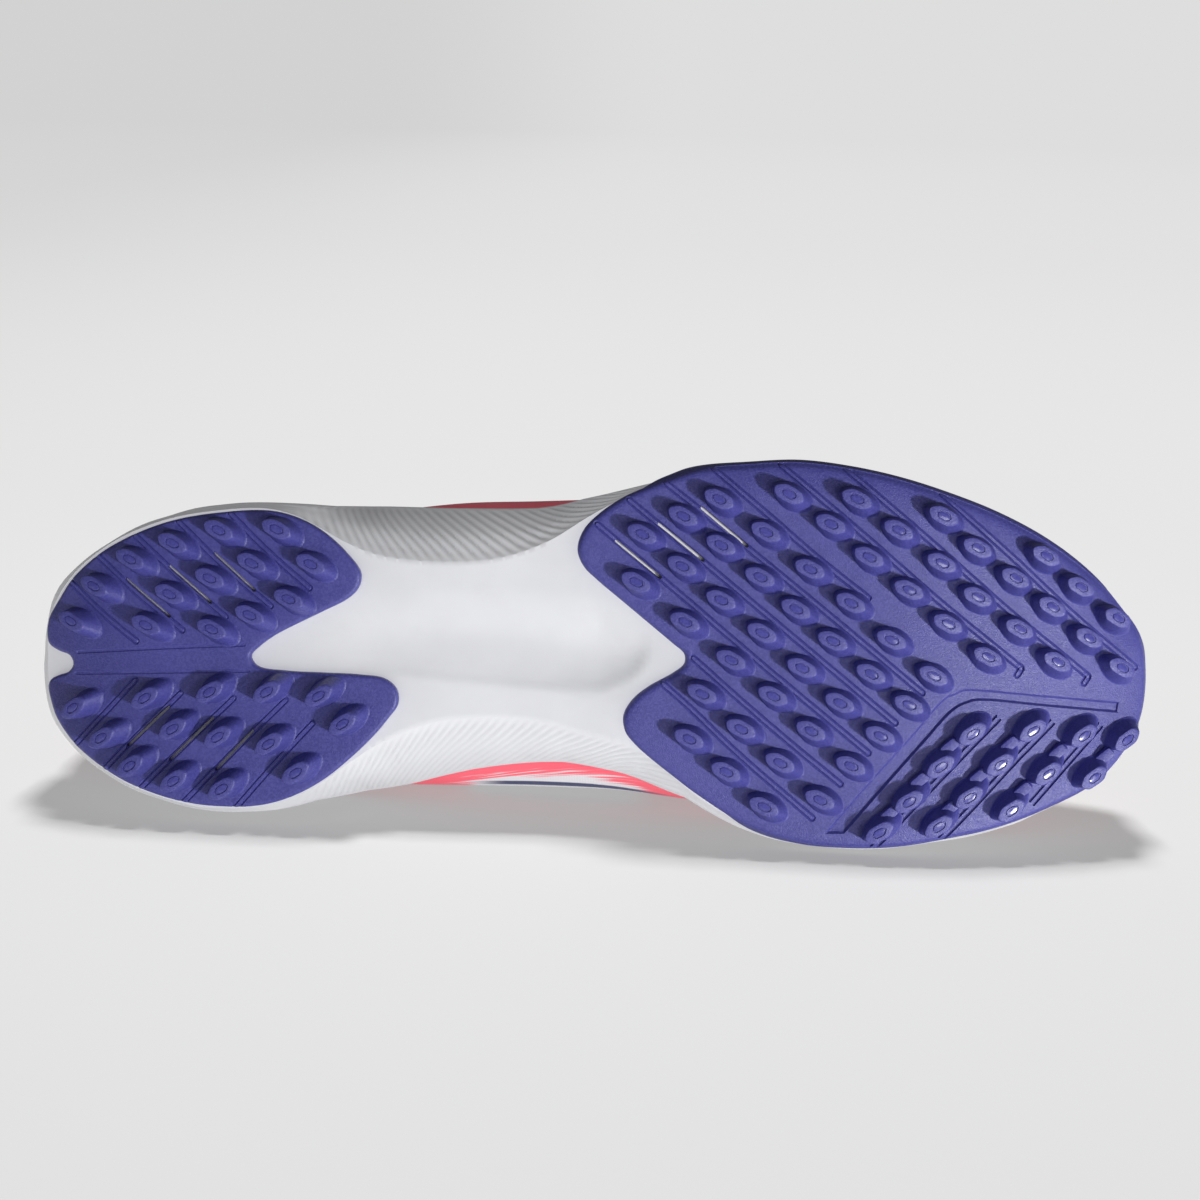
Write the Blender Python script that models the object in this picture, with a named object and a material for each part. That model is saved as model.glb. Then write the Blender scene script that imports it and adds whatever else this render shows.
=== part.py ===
"""Turf shoe, right foot: rubber outsole in two pieces, carved midsole, hollow
upper, tongue, insole and lace.

The shoe is drawn in its own frame in millimetres: x from heel to toe, y from
the outer (lateral) to the inner (medial) side, z up from the plane of the lug
tips. At the end the whole shoe is laid on its inner side: a sole edge at the
ball, one at the heel, and the collar touch the ground.
"""
import math

import bmesh
import bpy
from mathutils import Matrix, Vector

for old in list(bpy.data.objects):
    bpy.data.objects.remove(old, do_unlink=True)

# ---------------------------------------------------------------- sizes, mm
UNIT = 0.2515          # one unit of the plan drawing
GAP = 0.3              # between pieces that touch
PLATE = 2.2            # rubber plate between the lugs
LUG = 5.0              # lug height on the flat
WALL = 2.0             # wall of the upper
LIP = 2.3              # least thickness of the midsole's rim
INSOLE = 3.6
TONGUE = 3.6
LACE_R = 1.5
EYELET_R = 2.3
COLUMNS = 27           # loft columns on each side of the shoe

# the plan drawing is seen from a point, not square on: its foot on the lug
# plane, its distance from it, and the point at the drawing's centre
VIEW_FOOT = (166.5, -35.2)
VIEW_AIM = (139.1, -15.1)
VIEW_DISTANCE = 500.0
PLAN_CENTRE = 600.0

_eye = Vector((VIEW_FOOT[0], VIEW_FOOT[1], -VIEW_DISTANCE))
_ahead = (Vector((VIEW_AIM[0], VIEW_AIM[1], 0.0)) - _eye)
_focal = _ahead.length / UNIT
_ahead.normalize()
_right = (Vector((1, 0, 0)) - _ahead * _ahead.x).normalized()
_down = _ahead.cross(_right)


def plan(u, v, z):
    """A point of the plan drawing, at height z, in the shoe's millimetres."""
    ray = _ahead * _focal + _right * (u - PLAN_CENTRE) + _down * (v - PLAN_CENTRE)
    hit = _eye + ray * ((z + VIEW_DISTANCE) / ray.z)
    return Vector((hit.x, hit.y))


# heights along the shoe: tread is the rubber's face between the lugs, bed the
# floor of the midsole's dish, rim the top of its edge outside and inside
PROFILE = (
    # x     tread   bed    rim_lat rim_med
    (-8.0, 12.5, 27.6, 34.5, 34.5),
    (4.0, 8.4, 27.2, 34.5, 34.5),
    (18.0, 5.5, 26.7, 33.6, 33.8),
    (32.0, 5.0, 26.2, 32.6, 33.2),
    (60.0, 5.0, 25.6, 31.4, 32.6),
    (88.0, 5.0, 24.4, 30.4, 30.8),
    (112.0, 5.0, 22.8, 29.0, 28.8),
    (138.0, 5.0, 20.4, 27.0, 26.4),
    (165.0, 5.0, 18.2, 25.0, 24.8),
    (190.0, 5.0, 16.8, 23.6, 23.6),
    (212.0, 5.1, 16.5, 23.2, 23.2),
    (228.0, 6.4, 17.4, 24.0, 24.0),
    (244.0, 9.2, 19.6, 26.2, 26.2),
    (258.0, 12.8, 22.6, 29.2, 29.2),
    (270.0, 16.8, 26.0, 32.4, 32.4),
    (286.0, 23.4, 31.6, 38.0, 38.0),
)
TREAD, BED, RIM_LAT, RIM_MED = 1, 2, 3, 4
ARCH = (92.0, 168.0, 2.0)     # from x, to x, lift of the bare waist's face


def height(column, x):
    """Smooth reading of one column of PROFILE at x."""
    rows = PROFILE
    x = min(max(x, rows[0][0]), rows[-1][0])
    i = max(k for k in range(len(rows) - 1) if rows[k][0] <= x)
    p0, p1 = rows[max(i - 1, 0)], rows[i]
    p2, p3 = rows[i + 1], rows[min(i + 2, len(rows) - 1)]
    h = p2[0] - p1[0]
    t = (x - p1[0]) / h
    m1 = (p2[column] - p0[column]) / (p2[0] - p0[0])
    m2 = (p3[column] - p1[column]) / (p3[0] - p1[0])
    return ((2 * t**3 - 3 * t**2 + 1) * p1[column] + (t**3 - 2 * t**2 + t) * h * m1
            + (-2 * t**3 + 3 * t**2) * p2[column] + (t**3 - t**2) * h * m2)


def waist(x):
    """Lift of the midsole's lower face between the two rubbers."""
    a, b, lift = ARCH
    if x <= a or x >= b:
        return 0.0
    return lift * math.sin(math.pi * (x - a) / (b - a)) ** 2


def tread(x):
    return height(TREAD, x)


def under(x):
    """Height of the midsole's lower face."""
    return tread(x) + PLATE + GAP + waist(x)


# ---------------------------------------------------- outlines in the plan
# silhouette of the sole, in plan units
EDGE = (
    # along  lateral medial
    (52, 604, 712), (73, 572, 745), (98, 548, 769), (123, 530, 786),
    (148, 519, 797), (173, 510, 806), (198, 505, 811), (223, 502, 813),
    (273, 502, 811), (323, 505, 800), (373, 506, 789), (423, 507, 781),
    (498, 505, 764), (548, 500, 760), (598, 491, 772), (648, 480, 790),
    (698, 467, 806), (748, 463, 828), (798, 461, 844), (848, 467, 849),
    (898, 478, 848), (948, 494, 840), (998, 514, 829), (1048, 541, 810),
    (1098, 579, 783), (1127, 613, 750),
)
EDGE_HEEL, EDGE_TOE = (46, 659), (1147, 664)
# where the midsole's lower face ends
FOOT_EDGE = (
    (53, 610, 708), (73, 576, 741), (98, 553, 765), (123, 537, 782),
    (148, 526, 793), (173, 518, 801), (198, 513, 807), (223, 510, 808),
    (248, 508, 808), (273, 509, 804), (298, 516, 795), (323, 529, 781),
    (348, 543, 763), (378, 555, 744), (432, 562, 722), (496, 559, 717),
    (547, 542, 723), (590, 516, 736), (623, 498, 744), (648, 486, 757),
    (673, 477, 777), (698, 470, 797), (748, 466, 826), (798, 463, 842),
    (848, 468, 847), (898, 480, 846), (948, 496, 838), (998, 516, 827),
    (1048, 543, 808), (1098, 581, 781), (1125, 613, 750),
)
FOOT_HEEL, FOOT_TOE = (48, 659), (1144, 664)
# outline of the upper where it sits in the dish, in mm of the shoe
LAST = (
    # x      lateral medial
    (-1.0, -14.0, 14.0), (6.0, -22.8, 22.8), (17.0, -29.4, 29.4),
    (33.0, -33.8, 34.0), (55.0, -35.8, 35.6), (78.0, -36.2, 33.6),
    (100.0, -35.6, 29.4), (122.0, -35.6, 26.6), (142.0, -37.4, 27.6),
    (160.0, -41.0, 33.4), (180.0, -44.6, 39.2), (200.0, -45.6, 43.8),
    (220.0, -42.8, 44.4), (238.0, -36.4, 41.6), (252.0, -29.2, 36.8),
    (264.0, -20.6, 29.8), (272.0, -11.0, 21.3),
)
LAST_HEEL, LAST_TOE = (-5.0, 0.0), (276.6, 6.0)
# widest line of the upper, in mm
BELLY = (
    # x      lateral medial
    (-2.4, -12.0, 12.0), (5.0, -21.6, 21.6), (17.0, -28.0, 27.6),
    (34.0, -32.0, 31.4), (56.0, -34.6, 33.0), (78.0, -37.0, 34.4),
    (100.0, -39.4, 36.0), (122.0, -41.2, 37.2), (142.0, -42.6, 38.2),
    (160.0, -44.4, 40.2), (180.0, -45.8, 42.4), (200.0, -45.8, 44.0),
    (220.0, -42.8, 44.0), (238.0, -36.6, 41.2), (252.0, -29.6, 36.4),
    (264.0, -20.8, 29.4), (271.5, -11.6, 21.2),
)
BELLY_HEEL, BELLY_TOE = (-6.2, 0.0), (276.4, 6.0)


def smooth_loop(points, per=6):
    """Closed centripetal Catmull-Rom curve through the points."""
    n, out = len(points), []
    for i in range(n):
        p0, p1, p2, p3 = (points[(i + k - 1) % n] for k in range(4))
        t0 = 0.0
        t1 = t0 + max((p1 - p0).length, 1e-6) ** 0.5
        t2 = t1 + max((p2 - p1).length, 1e-6) ** 0.5
        t3 = t2 + max((p3 - p2).length, 1e-6) ** 0.5
        for k in range(per):
            t = t1 + (t2 - t1) * k / per
            a1 = p0 * ((t1 - t) / (t1 - t0)) + p1 * ((t - t0) / (t1 - t0))
            a2 = p1 * ((t2 - t) / (t2 - t1)) + p2 * ((t - t1) / (t2 - t1))
            a3 = p2 * ((t3 - t) / (t3 - t2)) + p3 * ((t - t2) / (t3 - t2))
            b1 = a1 * ((t2 - t) / (t2 - t0)) + a2 * ((t - t0) / (t2 - t0))
            b2 = a2 * ((t3 - t) / (t3 - t1)) + a3 * ((t - t1) / (t3 - t1))
            out.append(b1 * ((t2 - t) / (t2 - t1)) + b2 * ((t - t1) / (t2 - t1)))
    return out


class Outline:
    """A closed outline read at a share s of the way from heel to toe."""

    def __init__(self, rows, heel, toe):
        lat = [Vector((x, a)) for x, a, b in rows]
        med = [Vector((x, b)) for x, a, b in rows]
        heel, toe = Vector(heel), Vector(toe)
        dense = smooth_loop([heel] + lat + [toe] + med[::-1])
        turn = 6 * (len(rows) + 1)
        self.sides = {-1: dense[:turn + 1], 1: ([dense[0]] + dense[:turn - 1:-1])}
        self.runs = {}
        for side, line in self.sides.items():
            run = [0.0]
            for a, b in zip(line, line[1:]):
                run.append(run[-1] + (b - a).length)
            self.runs[side] = run

    def at(self, side, s):
        line, run = self.sides[side], self.runs[side]
        want = min(max(s, 0.0), 1.0) * run[-1]
        i = 0
        while i < len(run) - 2 and run[i + 1] < want:
            i += 1
        t = (want - run[i]) / max(run[i + 1] - run[i], 1e-9)
        return line[i].lerp(line[i + 1], t)

    def out(self, side, s):
        """Outward direction in the plan."""
        d = self.at(side, s + 0.01) - self.at(side, s - 0.01)
        n = Vector((d.y, -d.x)) if side < 0 else Vector((-d.y, d.x))
        return n.normalized()

    def half(self, side, x):
        """y of one side at x, for the long sides."""
        line = self.sides[side]
        for a, b in zip(line, line[1:]):
            if min(a.x, b.x) <= x <= max(a.x, b.x) and abs(b.x - a.x) > 1e-6:
                return a.y + (b.y - a.y) * (x - a.x) / (b.x - a.x)
        return 0.0


def from_plan(rows, heel, toe, level):
    def put(u, v):
        p = plan(u, v, 10.0)
        for _ in range(3):
            p = plan(u, v, level(p.x))
        return p
    table = []
    for u, a, b in rows:
        pa, pb = put(u, a), put(u, b)
        table.append(((pa.x + pb.x) / 2, pa.y, pb.y))
    return Outline(table, put(*heel), put(*toe))


edge = from_plan(EDGE, EDGE_HEEL, EDGE_TOE, lambda x: tread(x) + 8.0)
foot_edge = from_plan(FOOT_EDGE, FOOT_HEEL, FOOT_TOE, under)
last = Outline(LAST, LAST_HEEL, LAST_TOE)
belly = Outline(BELLY, BELLY_HEEL, BELLY_TOE)

SHARES = [i / COLUMNS for i in range(COLUMNS + 1)]


def blend(table, s):
    """Smooth reading of a table whose first column is the share s."""
    i = 0
    while i < len(table) - 2 and table[i + 1][0] < s:
        i += 1
    p1, p2 = table[i], table[i + 1]
    p0 = table[i - 1] if i else None
    p3 = table[i + 2] if i + 2 < len(table) else None
    h = p2[0] - p1[0]
    t = (s - p1[0]) / h
    out = []
    for c in range(1, len(p1)):
        m1 = (p2[c] - p0[c]) / (p2[0] - p0[0]) if p0 else (p2[c] - p1[c]) / h
        m2 = (p3[c] - p1[c]) / (p3[0] - p1[0]) if p3 else (p2[c] - p1[c]) / h
        out.append((2 * t**3 - 3 * t**2 + 1) * p1[c] + (t**3 - 2 * t**2 + t) * h * m1
                   + (-2 * t**3 + 3 * t**2) * p2[c] + (t**3 - t**2) * h * m2)
    return out


# ------------------------------------------------------------- the upper
# the upper's upper edge: collar from the heel to the top eyelet, then the
# throat down to its end on the vamp; reach and drop lean the rib at its top
TOPLINE = (
    # s     x      lat    med    z      reach  drop
    (0.00, 4.0, 0.0, 0.0, 92.0, 0.8, 24.0),
    (0.06, 7.6, -11.5, 11.5, 91.0, 1.0, 23.0),
    (0.12, 17.5, -20.4, 20.2, 87.0, 1.2, 21.0),
    (0.20, 40.0, -27.0, 26.8, 76.0, 1.5, 16.0),
    (0.28, 64.0, -31.2, 31.0, 68.0, 1.2, 13.0),
    (0.35, 84.0, -30.8, 29.6, 70.5, 4.0, 14.0),
    (0.41, 100.0, -25.5, 24.5, 82.5, 8.0, 17.0),
    (0.46, 111.0, -17.4, 16.8, 94.0, 11.0, 14.0),
    (0.53, 127.0, -13.6, 13.2, 90.6, 13.0, 9.0),
    (0.61, 146.0, -12.0, 11.6, 82.6, 15.0, 7.0),
    (0.69, 164.0, -10.6, 10.4, 74.6, 17.0, 6.0),
    (0.77, 179.0, -8.8, 8.8, 67.9, 19.0, 5.6),
    (0.85, 188.5, -6.2, 6.4, 63.8, 23.0, 6.0),
    (0.93, 193.0, -3.0, 3.4, 61.9, 32.0, 7.0),
    (1.00, 194.0, 0.4, 0.4, 61.4, 42.0, 8.0),
)
BELLY_Z = (
    (0.00, 46.0), (0.20, 43.0), (0.40, 42.0), (0.55, 38.5), (0.70, 34.0),
    (0.85, 35.5), (1.00, 41.0),
)


def rim_height(side, x, s):
    k = min(1.0, max(0.0, (s - 0.04) / 0.08)) * min(1.0, max(0.0, (0.96 - s) / 0.08))
    mid = (height(RIM_LAT, x) + height(RIM_MED, x)) / 2
    own = height(RIM_LAT if side < 0 else RIM_MED, x)
    return mid + (own - mid) * k


FULLNESS = ((0.00, 0.5), (0.35, 0.5), (0.55, 0.40), (0.75, 0.36), (1.00, 0.5))


def cubic(a, b, c, d, t):
    return (a * (1 - t) ** 3 + b * (3 * t * (1 - t) ** 2)
            + c * (3 * t * t * (1 - t)) + d * t**3)


def rib(side, s, v):
    """Outer face of the upper: v 0 in the dish, 1 at the belly, 2 at the top."""
    f = last.at(side, s)
    b = belly.at(side, s)
    bz = blend(BELLY_Z, s)[0]
    x, lat, med, z, reach, drop = blend(TOPLINE, s)
    fz = height(BED, f.x) + GAP
    f3, b3 = Vector((f.x, f.y, fz)), Vector((b.x, b.y, bz))
    t3 = Vector((x, lat if side < 0 else med, z))
    # upright inside the dish's edge, then out to the belly
    free = Vector((f.x, f.y, rim_height(side, f.x, s) + 0.2))
    if v <= 0.4:
        return f3.lerp(free, v / 0.4)
    if v <= 1.0:
        rise = bz - free.z
        return cubic(free, free + Vector((0, 0, rise * 0.25)),
                     b3 - Vector((0, 0, rise * 0.5)), b3, (v - 0.4) / 0.6)
    d = Vector((b.x - t3.x, b.y - t3.y, 0.0))
    d = d.normalized() if d.length > 1.0 else Vector((-1, 0, 0))
    lift = (t3.z - b3.z) * blend(FULLNESS, s)[0]
    return cubic(b3, b3 + Vector((0, 0, lift)),
                 t3 + d * reach - Vector((0, 0, drop)), t3, v - 1.0)


def inward(side, s, v):
    """Unit normal of the rib surface, into the shoe."""
    e = 0.02
    a = rib(side, min(s + e, 1.0), v) - rib(side, max(s - e, 0.0), v)
    b = rib(side, s, min(v + e, 2.0)) - rib(side, s, max(v - e, 0.0))
    n = a.cross(b).normalized()
    if side < 0:
        n = -n
    return n


LEVELS = [0.0, 0.4, 0.7, 1.0, 1.2, 1.4, 1.6, 1.76, 1.9, 2.0]


def ring_columns():
    """Every column once round the shoe: heel, lateral, toe, medial."""
    cols = [(-1, s) for s in SHARES]
    cols += [(1, s) for s in SHARES[-2:0:-1]]
    return cols


# ------------------------------------------------------------ mesh helpers
shoe = bpy.data.collections.new("turf_shoe")
bpy.context.scene.collection.children.link(shoe)
cutters = bpy.data.collections.new("cutters")
bpy.context.scene.collection.children.link(cutters)
rest = bpy.data.objects.new("shoe_rest", None)
shoe.objects.link(rest)


def material(name, rgb, rough):
    mat = bpy.data.materials.new(name)
    mat.use_nodes = True
    shader = mat.node_tree.nodes["Principled BSDF"]
    shader.inputs["Base Color"].default_value = (*rgb, 1.0)
    shader.inputs["Roughness"].default_value = rough
    shader.inputs["Metallic"].default_value = 0.0
    return mat


def to_object(bm, name, mat, collection=None, angle=40.0):
    bmesh.ops.recalc_face_normals(bm, faces=bm.faces)
    bm.normal_update()
    mesh = bpy.data.meshes.new(name)
    bm.to_mesh(mesh)
    bm.free()
    mesh.shade_smooth()
    mesh.set_sharp_from_angle(angle=math.radians(angle))
    obj = bpy.data.objects.new(name, mesh)
    (collection or shoe).objects.link(obj)
    if mat:
        mesh.materials.append(mat)
    obj.parent = rest
    return obj


def vert(bm, p):
    return bm.verts.new((p[0] * 0.001, p[1] * 0.001, p[2] * 0.001))


def strip(bm, lower, upper):
    """Quads between two closed rings of vertices."""
    n = len(lower)
    for i in range(n):
        j = (i + 1) % n
        bm.faces.new((lower[i], lower[j], upper[j], upper[i]))


def floor_of(bm, ring, level, across=4):
    """Fill a ring from side to side; the ring is in ring_columns order."""
    n = COLUMNS
    rows = []
    for j in range(1, n):
        a, b = ring[j], ring[2 * n - j]
        row = [a]
        for k in range(1, across):
            p = a.co.lerp(b.co, k / across) * 1000.0
            row.append(vert(bm, (p.x, p.y, level(p.x, p.y, p.z))))
        row.append(b)
        rows.append(row)
    for r0, r1 in zip(rows, rows[1:]):
        for k in range(across):
            bm.faces.new((r0[k], r1[k], r1[k + 1], r0[k + 1]))
    for k in range(across):
        bm.faces.new((ring[0], rows[0][k], rows[0][k + 1]))
        bm.faces.new((ring[n], rows[-1][k + 1], rows[-1][k]))


def closed_solid(rings, low, high, across=4):
    """A solid from stacked rings, with a floor fill below and above."""
    bm = bmesh.new()
    loops = [[vert(bm, p) for p in ring] for ring in rings]
    for a, b in zip(loops, loops[1:]):
        strip(bm, a, b)
    floor_of(bm, loops[0], low, across)
    floor_of(bm, loops[-1], high, across)
    return bm


RUBBER = material("violet_rubber", (0.075, 0.068, 0.30), 0.45)
FOAM = material("white_foam", (0.86, 0.86, 0.88), 0.55)
SKIN = material("coral_upper", (0.90, 0.14, 0.20), 0.5)
TONGUE_M = material("tongue_mesh", (0.80, 0.10, 0.16), 0.8)
SOCK = material("insole_cloth", (0.05, 0.05, 0.10), 0.85)
CORD = material("white_lace", (0.82, 0.82, 0.82), 0.8)

# --------------------------------------------------------------- midsole
TROUGH = (94.0, 162.0, 2.4)     # from x, to x, depth
TROUGH_LINE = (
    # x      centre  half width
    (94.0, -2.0, 4.0), (112.0, -6.0, 9.0), (135.0, -5.0, 10.5), (162.0, 0.0, 4.0),
)


def trough(x, y):
    a, b, deep = TROUGH
    if not a < x < b:
        return 0.0
    c, w = blend(TROUGH_LINE, x)
    q = min(abs(y - c) / w, 1.0)
    ends = min(1.0, (x - a) / 14.0, (b - x) / 14.0)
    return deep * ends * (1 + math.cos(math.pi * q)) / 2


def rim_out(side, s):
    """Top of the midsole's edge: just outside the dish, never past the edge."""
    p = last.at(side, s)
    n = last.out(side, s)
    q = p + n * (LIP + GAP)
    return Vector((q.x, q.y, rim_height(side, q.x, s)))


def wall_points(side, s):
    """The midsole's wall: lower edge, hollow, widest place, top of its edge."""
    low = foot_edge.at(side, s)
    top = rim_out(side, s)
    n = last.out(side, s)
    over = max(0.0, (edge.at(side, s) - Vector((top.x, top.y))).dot(n))
    wide = Vector((top.x, top.y)) + n * over
    span = (wide - low).length
    carved = min(1.0, max(0.0, (span - 2.0) / 8.0))
    z0 = under(low.x)
    low = Vector((low.x, low.y, z0))
    high = height(BED, top.x) - 1.5
    wide = Vector((wide.x, wide.y, z0 + 3.0 + carved * (high - z0 - 3.0)))
    mid = low.lerp(wide, 0.55)
    mid.z -= carved * (wide.z - z0) * 0.2
    return low, mid, wide, wide.lerp(top, 0.6), top


def midsole():
    rings = [[] for _ in range(8)]
    for side, s in ring_columns():
        low, mid, wide, over, top = wall_points(side, s)
        dish = last.at(side, s) + last.out(side, s) * GAP
        bed = height(BED, dish.x)
        for ring, p in zip(rings, (
                low, mid, wide, over, top,
                Vector((dish.x, dish.y, top.z - 0.2)),
                Vector((dish.x, dish.y, (top.z + bed) / 2)),
                Vector((dish.x, dish.y, bed)))):
            ring.append(p)
    bm = closed_solid(
        rings,
        lambda x, y, z: under(x) + trough(x, y),
        lambda x, y, z: height(BED, x), across=6)
    return to_object(bm, "midsole", FOAM)


midsole()


# --------------------------------------------------------------- outsoles
HEEL_PAD = (
    # outline of the heel rubber, in plan units
    (50, 626), (60, 600), (73, 577), (98, 554), (123, 539), (148, 528), (173, 520),
    (198, 515), (223, 512), (248, 510), (273, 511), (298, 518), (323, 532),
    (346, 553), (360, 573), (358, 587), (348, 598), (323, 611), (298, 623),
    (273, 636), (258, 647), (250, 656), (256, 666), (285, 671), (323, 673),
    (360, 675), (384, 679), (396, 690), (397, 705), (388, 718), (373, 736),
    (348, 760), (323, 780), (298, 794), (273, 803), (248, 807), (223, 807),
    (198, 805), (173, 800), (148, 792), (123, 781), (98, 765), (73, 743),
    (58, 722), (50, 698), (49, 688), (62, 674), (72, 662), (62, 648), (49, 636),
)
TOE_PAD_BACK = (
    # the swallow tail of the forefoot rubber, from the outer side to the inner
    (648, 486), (623, 497), (598, 514), (583, 530), (577, 549), (583, 566),
    (598, 581), (623, 602), (648, 623), (673, 644), (684, 654), (684, 664),
    (673, 673), (648, 687), (632, 700), (623, 716), (625, 732), (634, 744),
    (648, 757), (673, 777), (698, 796),
)
TOE_PAD_FROM = (698, 1127)


def pad_outline(points, step=1):
    put = [Vector(p) for p in points]
    line = smooth_loop(put, per=step)
    out = []
    for p in line:
        q = plan(p.x, p.y, 5.0)
        for _ in range(2):
            q = plan(p.x, p.y, tread(q.x))
        out.append(q)
    return out


def pad(points, name, cuts):
    """A rubber plate: its flat outline, given its thickness, then bent."""
    outline = pad_outline(points)
    bm = bmesh.new()
    face = bm.faces.new([vert(bm, (p.x, p.y, 0.0)) for p in outline])
    bmesh.ops.recalc_face_normals(bm, faces=bm.faces)
    grown = bmesh.ops.extrude_face_region(bm, geom=[face])
    top = [g for g in grown["geom"] if isinstance(g, bmesh.types.BMVert)]
    bmesh.ops.translate(bm, verts=top, vec=(0, 0, PLATE * 0.001))
    bmesh.ops.recalc_face_normals(bm, faces=bm.faces)
    lo, hi, step = cuts
    x = lo
    while x < hi:
        bmesh.ops.bisect_plane(bm, geom=bm.verts[:] + bm.edges[:] + bm.faces[:],
                               plane_co=(x * 0.001, 0, 0), plane_no=(1, 0, 0))
        x += step
    bmesh.ops.triangulate(bm, faces=bm.faces)
    for v in bm.verts:
        v.co.z += tread(v.co.x * 1000.0) * 0.001
    return to_object(bm, name, RUBBER)


# lugs: plan place of the top's centre
LUGS_MAIN = (
    (642, 534), (683, 516), (719, 499),
    (636, 582), (682, 566), (721, 545), (766, 532), (789, 494),
    (685, 622), (721, 600), (760, 577), (810, 569), (831, 524), (857, 499),
    (702, 694), (731, 660), (762, 633), (796, 609), (851, 603), (869, 557), (898, 530),
    (689, 739), (741, 729), (773, 696), (802, 668), (833, 641), (891, 640),
    (908, 590), (940, 563), (942, 516),
    (726, 772), (780, 763), (811, 731), (840, 703), (871, 674), (932, 676),
    (946, 624), (975, 597), (975, 548),
    (764, 807), (820, 800), (851, 766), (880, 736), (908, 705),
    (985, 657), (1016, 629), (1012, 578), (1042, 556),
    (1053, 662), (1048, 607), (1084, 638), (1076, 587), (1116, 668), (1112, 618),
)
LUGS_GREAT_TOE = (
    (970, 733), (939, 766), (908, 801), (879, 832),
    (1029, 730), (997, 764), (967, 797), (937, 826),
    (1079, 735), (1044, 773), (1008, 810), (1121, 739), (1089, 777),
)
LUGS_HEEL_LATERAL = (
    (276, 529), (218, 530), (172, 543), (131, 559), (97, 586), (75, 621),
    (310, 564), (251, 563), (209, 578), (169, 594), (146, 625),
    (288, 599), (249, 615), (211, 629),
)
LUGS_HEEL_MEDIAL = (
    (77, 708), (145, 698), (209, 692), (266, 692), (318, 696),
    (104, 738), (172, 729), (217, 737), (268, 744), (342, 724),
    (131, 766), (173, 781), (221, 789), (295, 773),
)
LUG_TURN = 32.0                     # degrees, outward toe side down
LUG_BASE = (6.6, 3.9)               # half length and half width at the plate
LUG_TOP = (4.0, 2.5)


def lugs(groups, name, offset=0.7):
    """Tapered six-sided studs, each sunk a little into the plate."""
    bm = bmesh.new()
    for u, v, turn in [(u, v, turn) for places, turn in groups for u, v in places]:
        p = plan(u, v, 0.0)
        for _ in range(2):
            p = plan(u, v, tread(p.x) - LUG)
        x, y = p
        z = tread(x)
        slope = math.atan((tread(x + 3) - tread(x - 3)) / 6.0)
        sunk = 1.0
        made = bmesh.ops.create_cone(
            bm, cap_ends=True, segments=6, radius1=1.0, radius2=1.0,
            depth=(LUG + sunk) * 0.001)
        turn_m = Matrix.Rotation(math.radians(turn), 4, 'Z')
        lean = Matrix.Rotation(-slope, 4, 'Y')
        for w in made["verts"]:
            at_top = w.co.z < 0
            a, b = LUG_TOP if at_top else LUG_BASE
            q = Matrix.Rotation(math.radians(30.0), 4, 'Z') @ Vector((w.co.x, w.co.y, 0))
            q = Vector((q.x * a, q.y * b, -LUG if at_top else sunk)) * 0.001
            if not at_top:
                q.x += offset * 0.001
            w.co = (Matrix.Translation((x * 0.001, y * 0.001, z * 0.001))
                    @ lean @ turn_m @ q)
    bmesh.ops.recalc_face_normals(bm, faces=bm.faces)
    obj = to_object(bm, name, RUBBER, cutters)
    obj.hide_render = True
    obj.display_type = 'WIRE'
    return obj


def boolean(obj, other, kind, self_ok=False):
    mod = obj.modifiers.new(kind.lower() + "_" + other.name, 'BOOLEAN')
    mod.operation = kind
    mod.object = other
    mod.solver = 'EXACT'
    mod.use_self = self_ok
    return mod


toe_rows = [r for r in EDGE if TOE_PAD_FROM[0] < r[0] <= TOE_PAD_FROM[1]]
toe_points = (
    [(r[0], r[1] + 1) for r in toe_rows[::-1]]
    + [(698, 469), (673, 477)] + list(TOE_PAD_BACK)
    + [(r[0], r[2] - 1) for r in toe_rows] + [(1142, 716), (1147, 664), (1141, 634)])
# the order runs from the toe back along the outer side and home again
forefoot = pad(toe_points, "outsole_forefoot", (215.0, 284.0, 9.0))
boolean(forefoot, lugs(((LUGS_MAIN, LUG_TURN), (LUGS_GREAT_TOE, -LUG_TURN)),
                       "lugs_forefoot"), 'UNION', True)
heel = pad(HEEL_PAD, "outsole_heel", (-2.0, 34.0, 9.0))
boolean(heel, lugs(((LUGS_HEEL_LATERAL, LUG_TURN), (LUGS_HEEL_MEDIAL, -LUG_TURN)),
                   "lugs_heel"), 'UNION', True)


# ----------------------------------------------------------------- upper
def upper():
    bm = bmesh.new()
    outer, inner = [], []
    for v in LEVELS:
        a, b = [], []
        for side, s in ring_columns():
            p = rib(side, s, v)
            n = inward(side, s, v)
            if v == 0.0:
                n = Vector((n.x, n.y, 0)).normalized()
            a.append(vert(bm, p))
            b.append(vert(bm, p + n * WALL))
        outer.append(a)
        inner.append(b)
    for k in range(len(LEVELS) - 1):
        strip(bm, outer[k], outer[k + 1])
        strip(bm, inner[k], inner[k + 1])
    strip(bm, outer[0], inner[0])
    strip(bm, outer[-1], inner[-1])
    return to_object(bm, "upper", SKIN)


upper_obj = upper()

# ---------------------------------------------------------------- insole
INSOLE_IN = WALL + 0.9


def insole():
    rings = [[], []]
    for side, s in ring_columns():
        p = last.at(side, s) - last.out(side, s) * INSOLE_IN
        z = height(BED, p.x)
        rings[0].append(Vector((p.x, p.y, z + 0.4)))
        rings[1].append(Vector((p.x, p.y, z + 0.4 + INSOLE)))
    bm = closed_solid(rings, lambda x, y, z: height(BED, x) + 0.4,
                      lambda x, y, z: height(BED, x) + 0.4 + INSOLE, across=2)
    return to_object(bm, "insole", SOCK)


insole()

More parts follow.
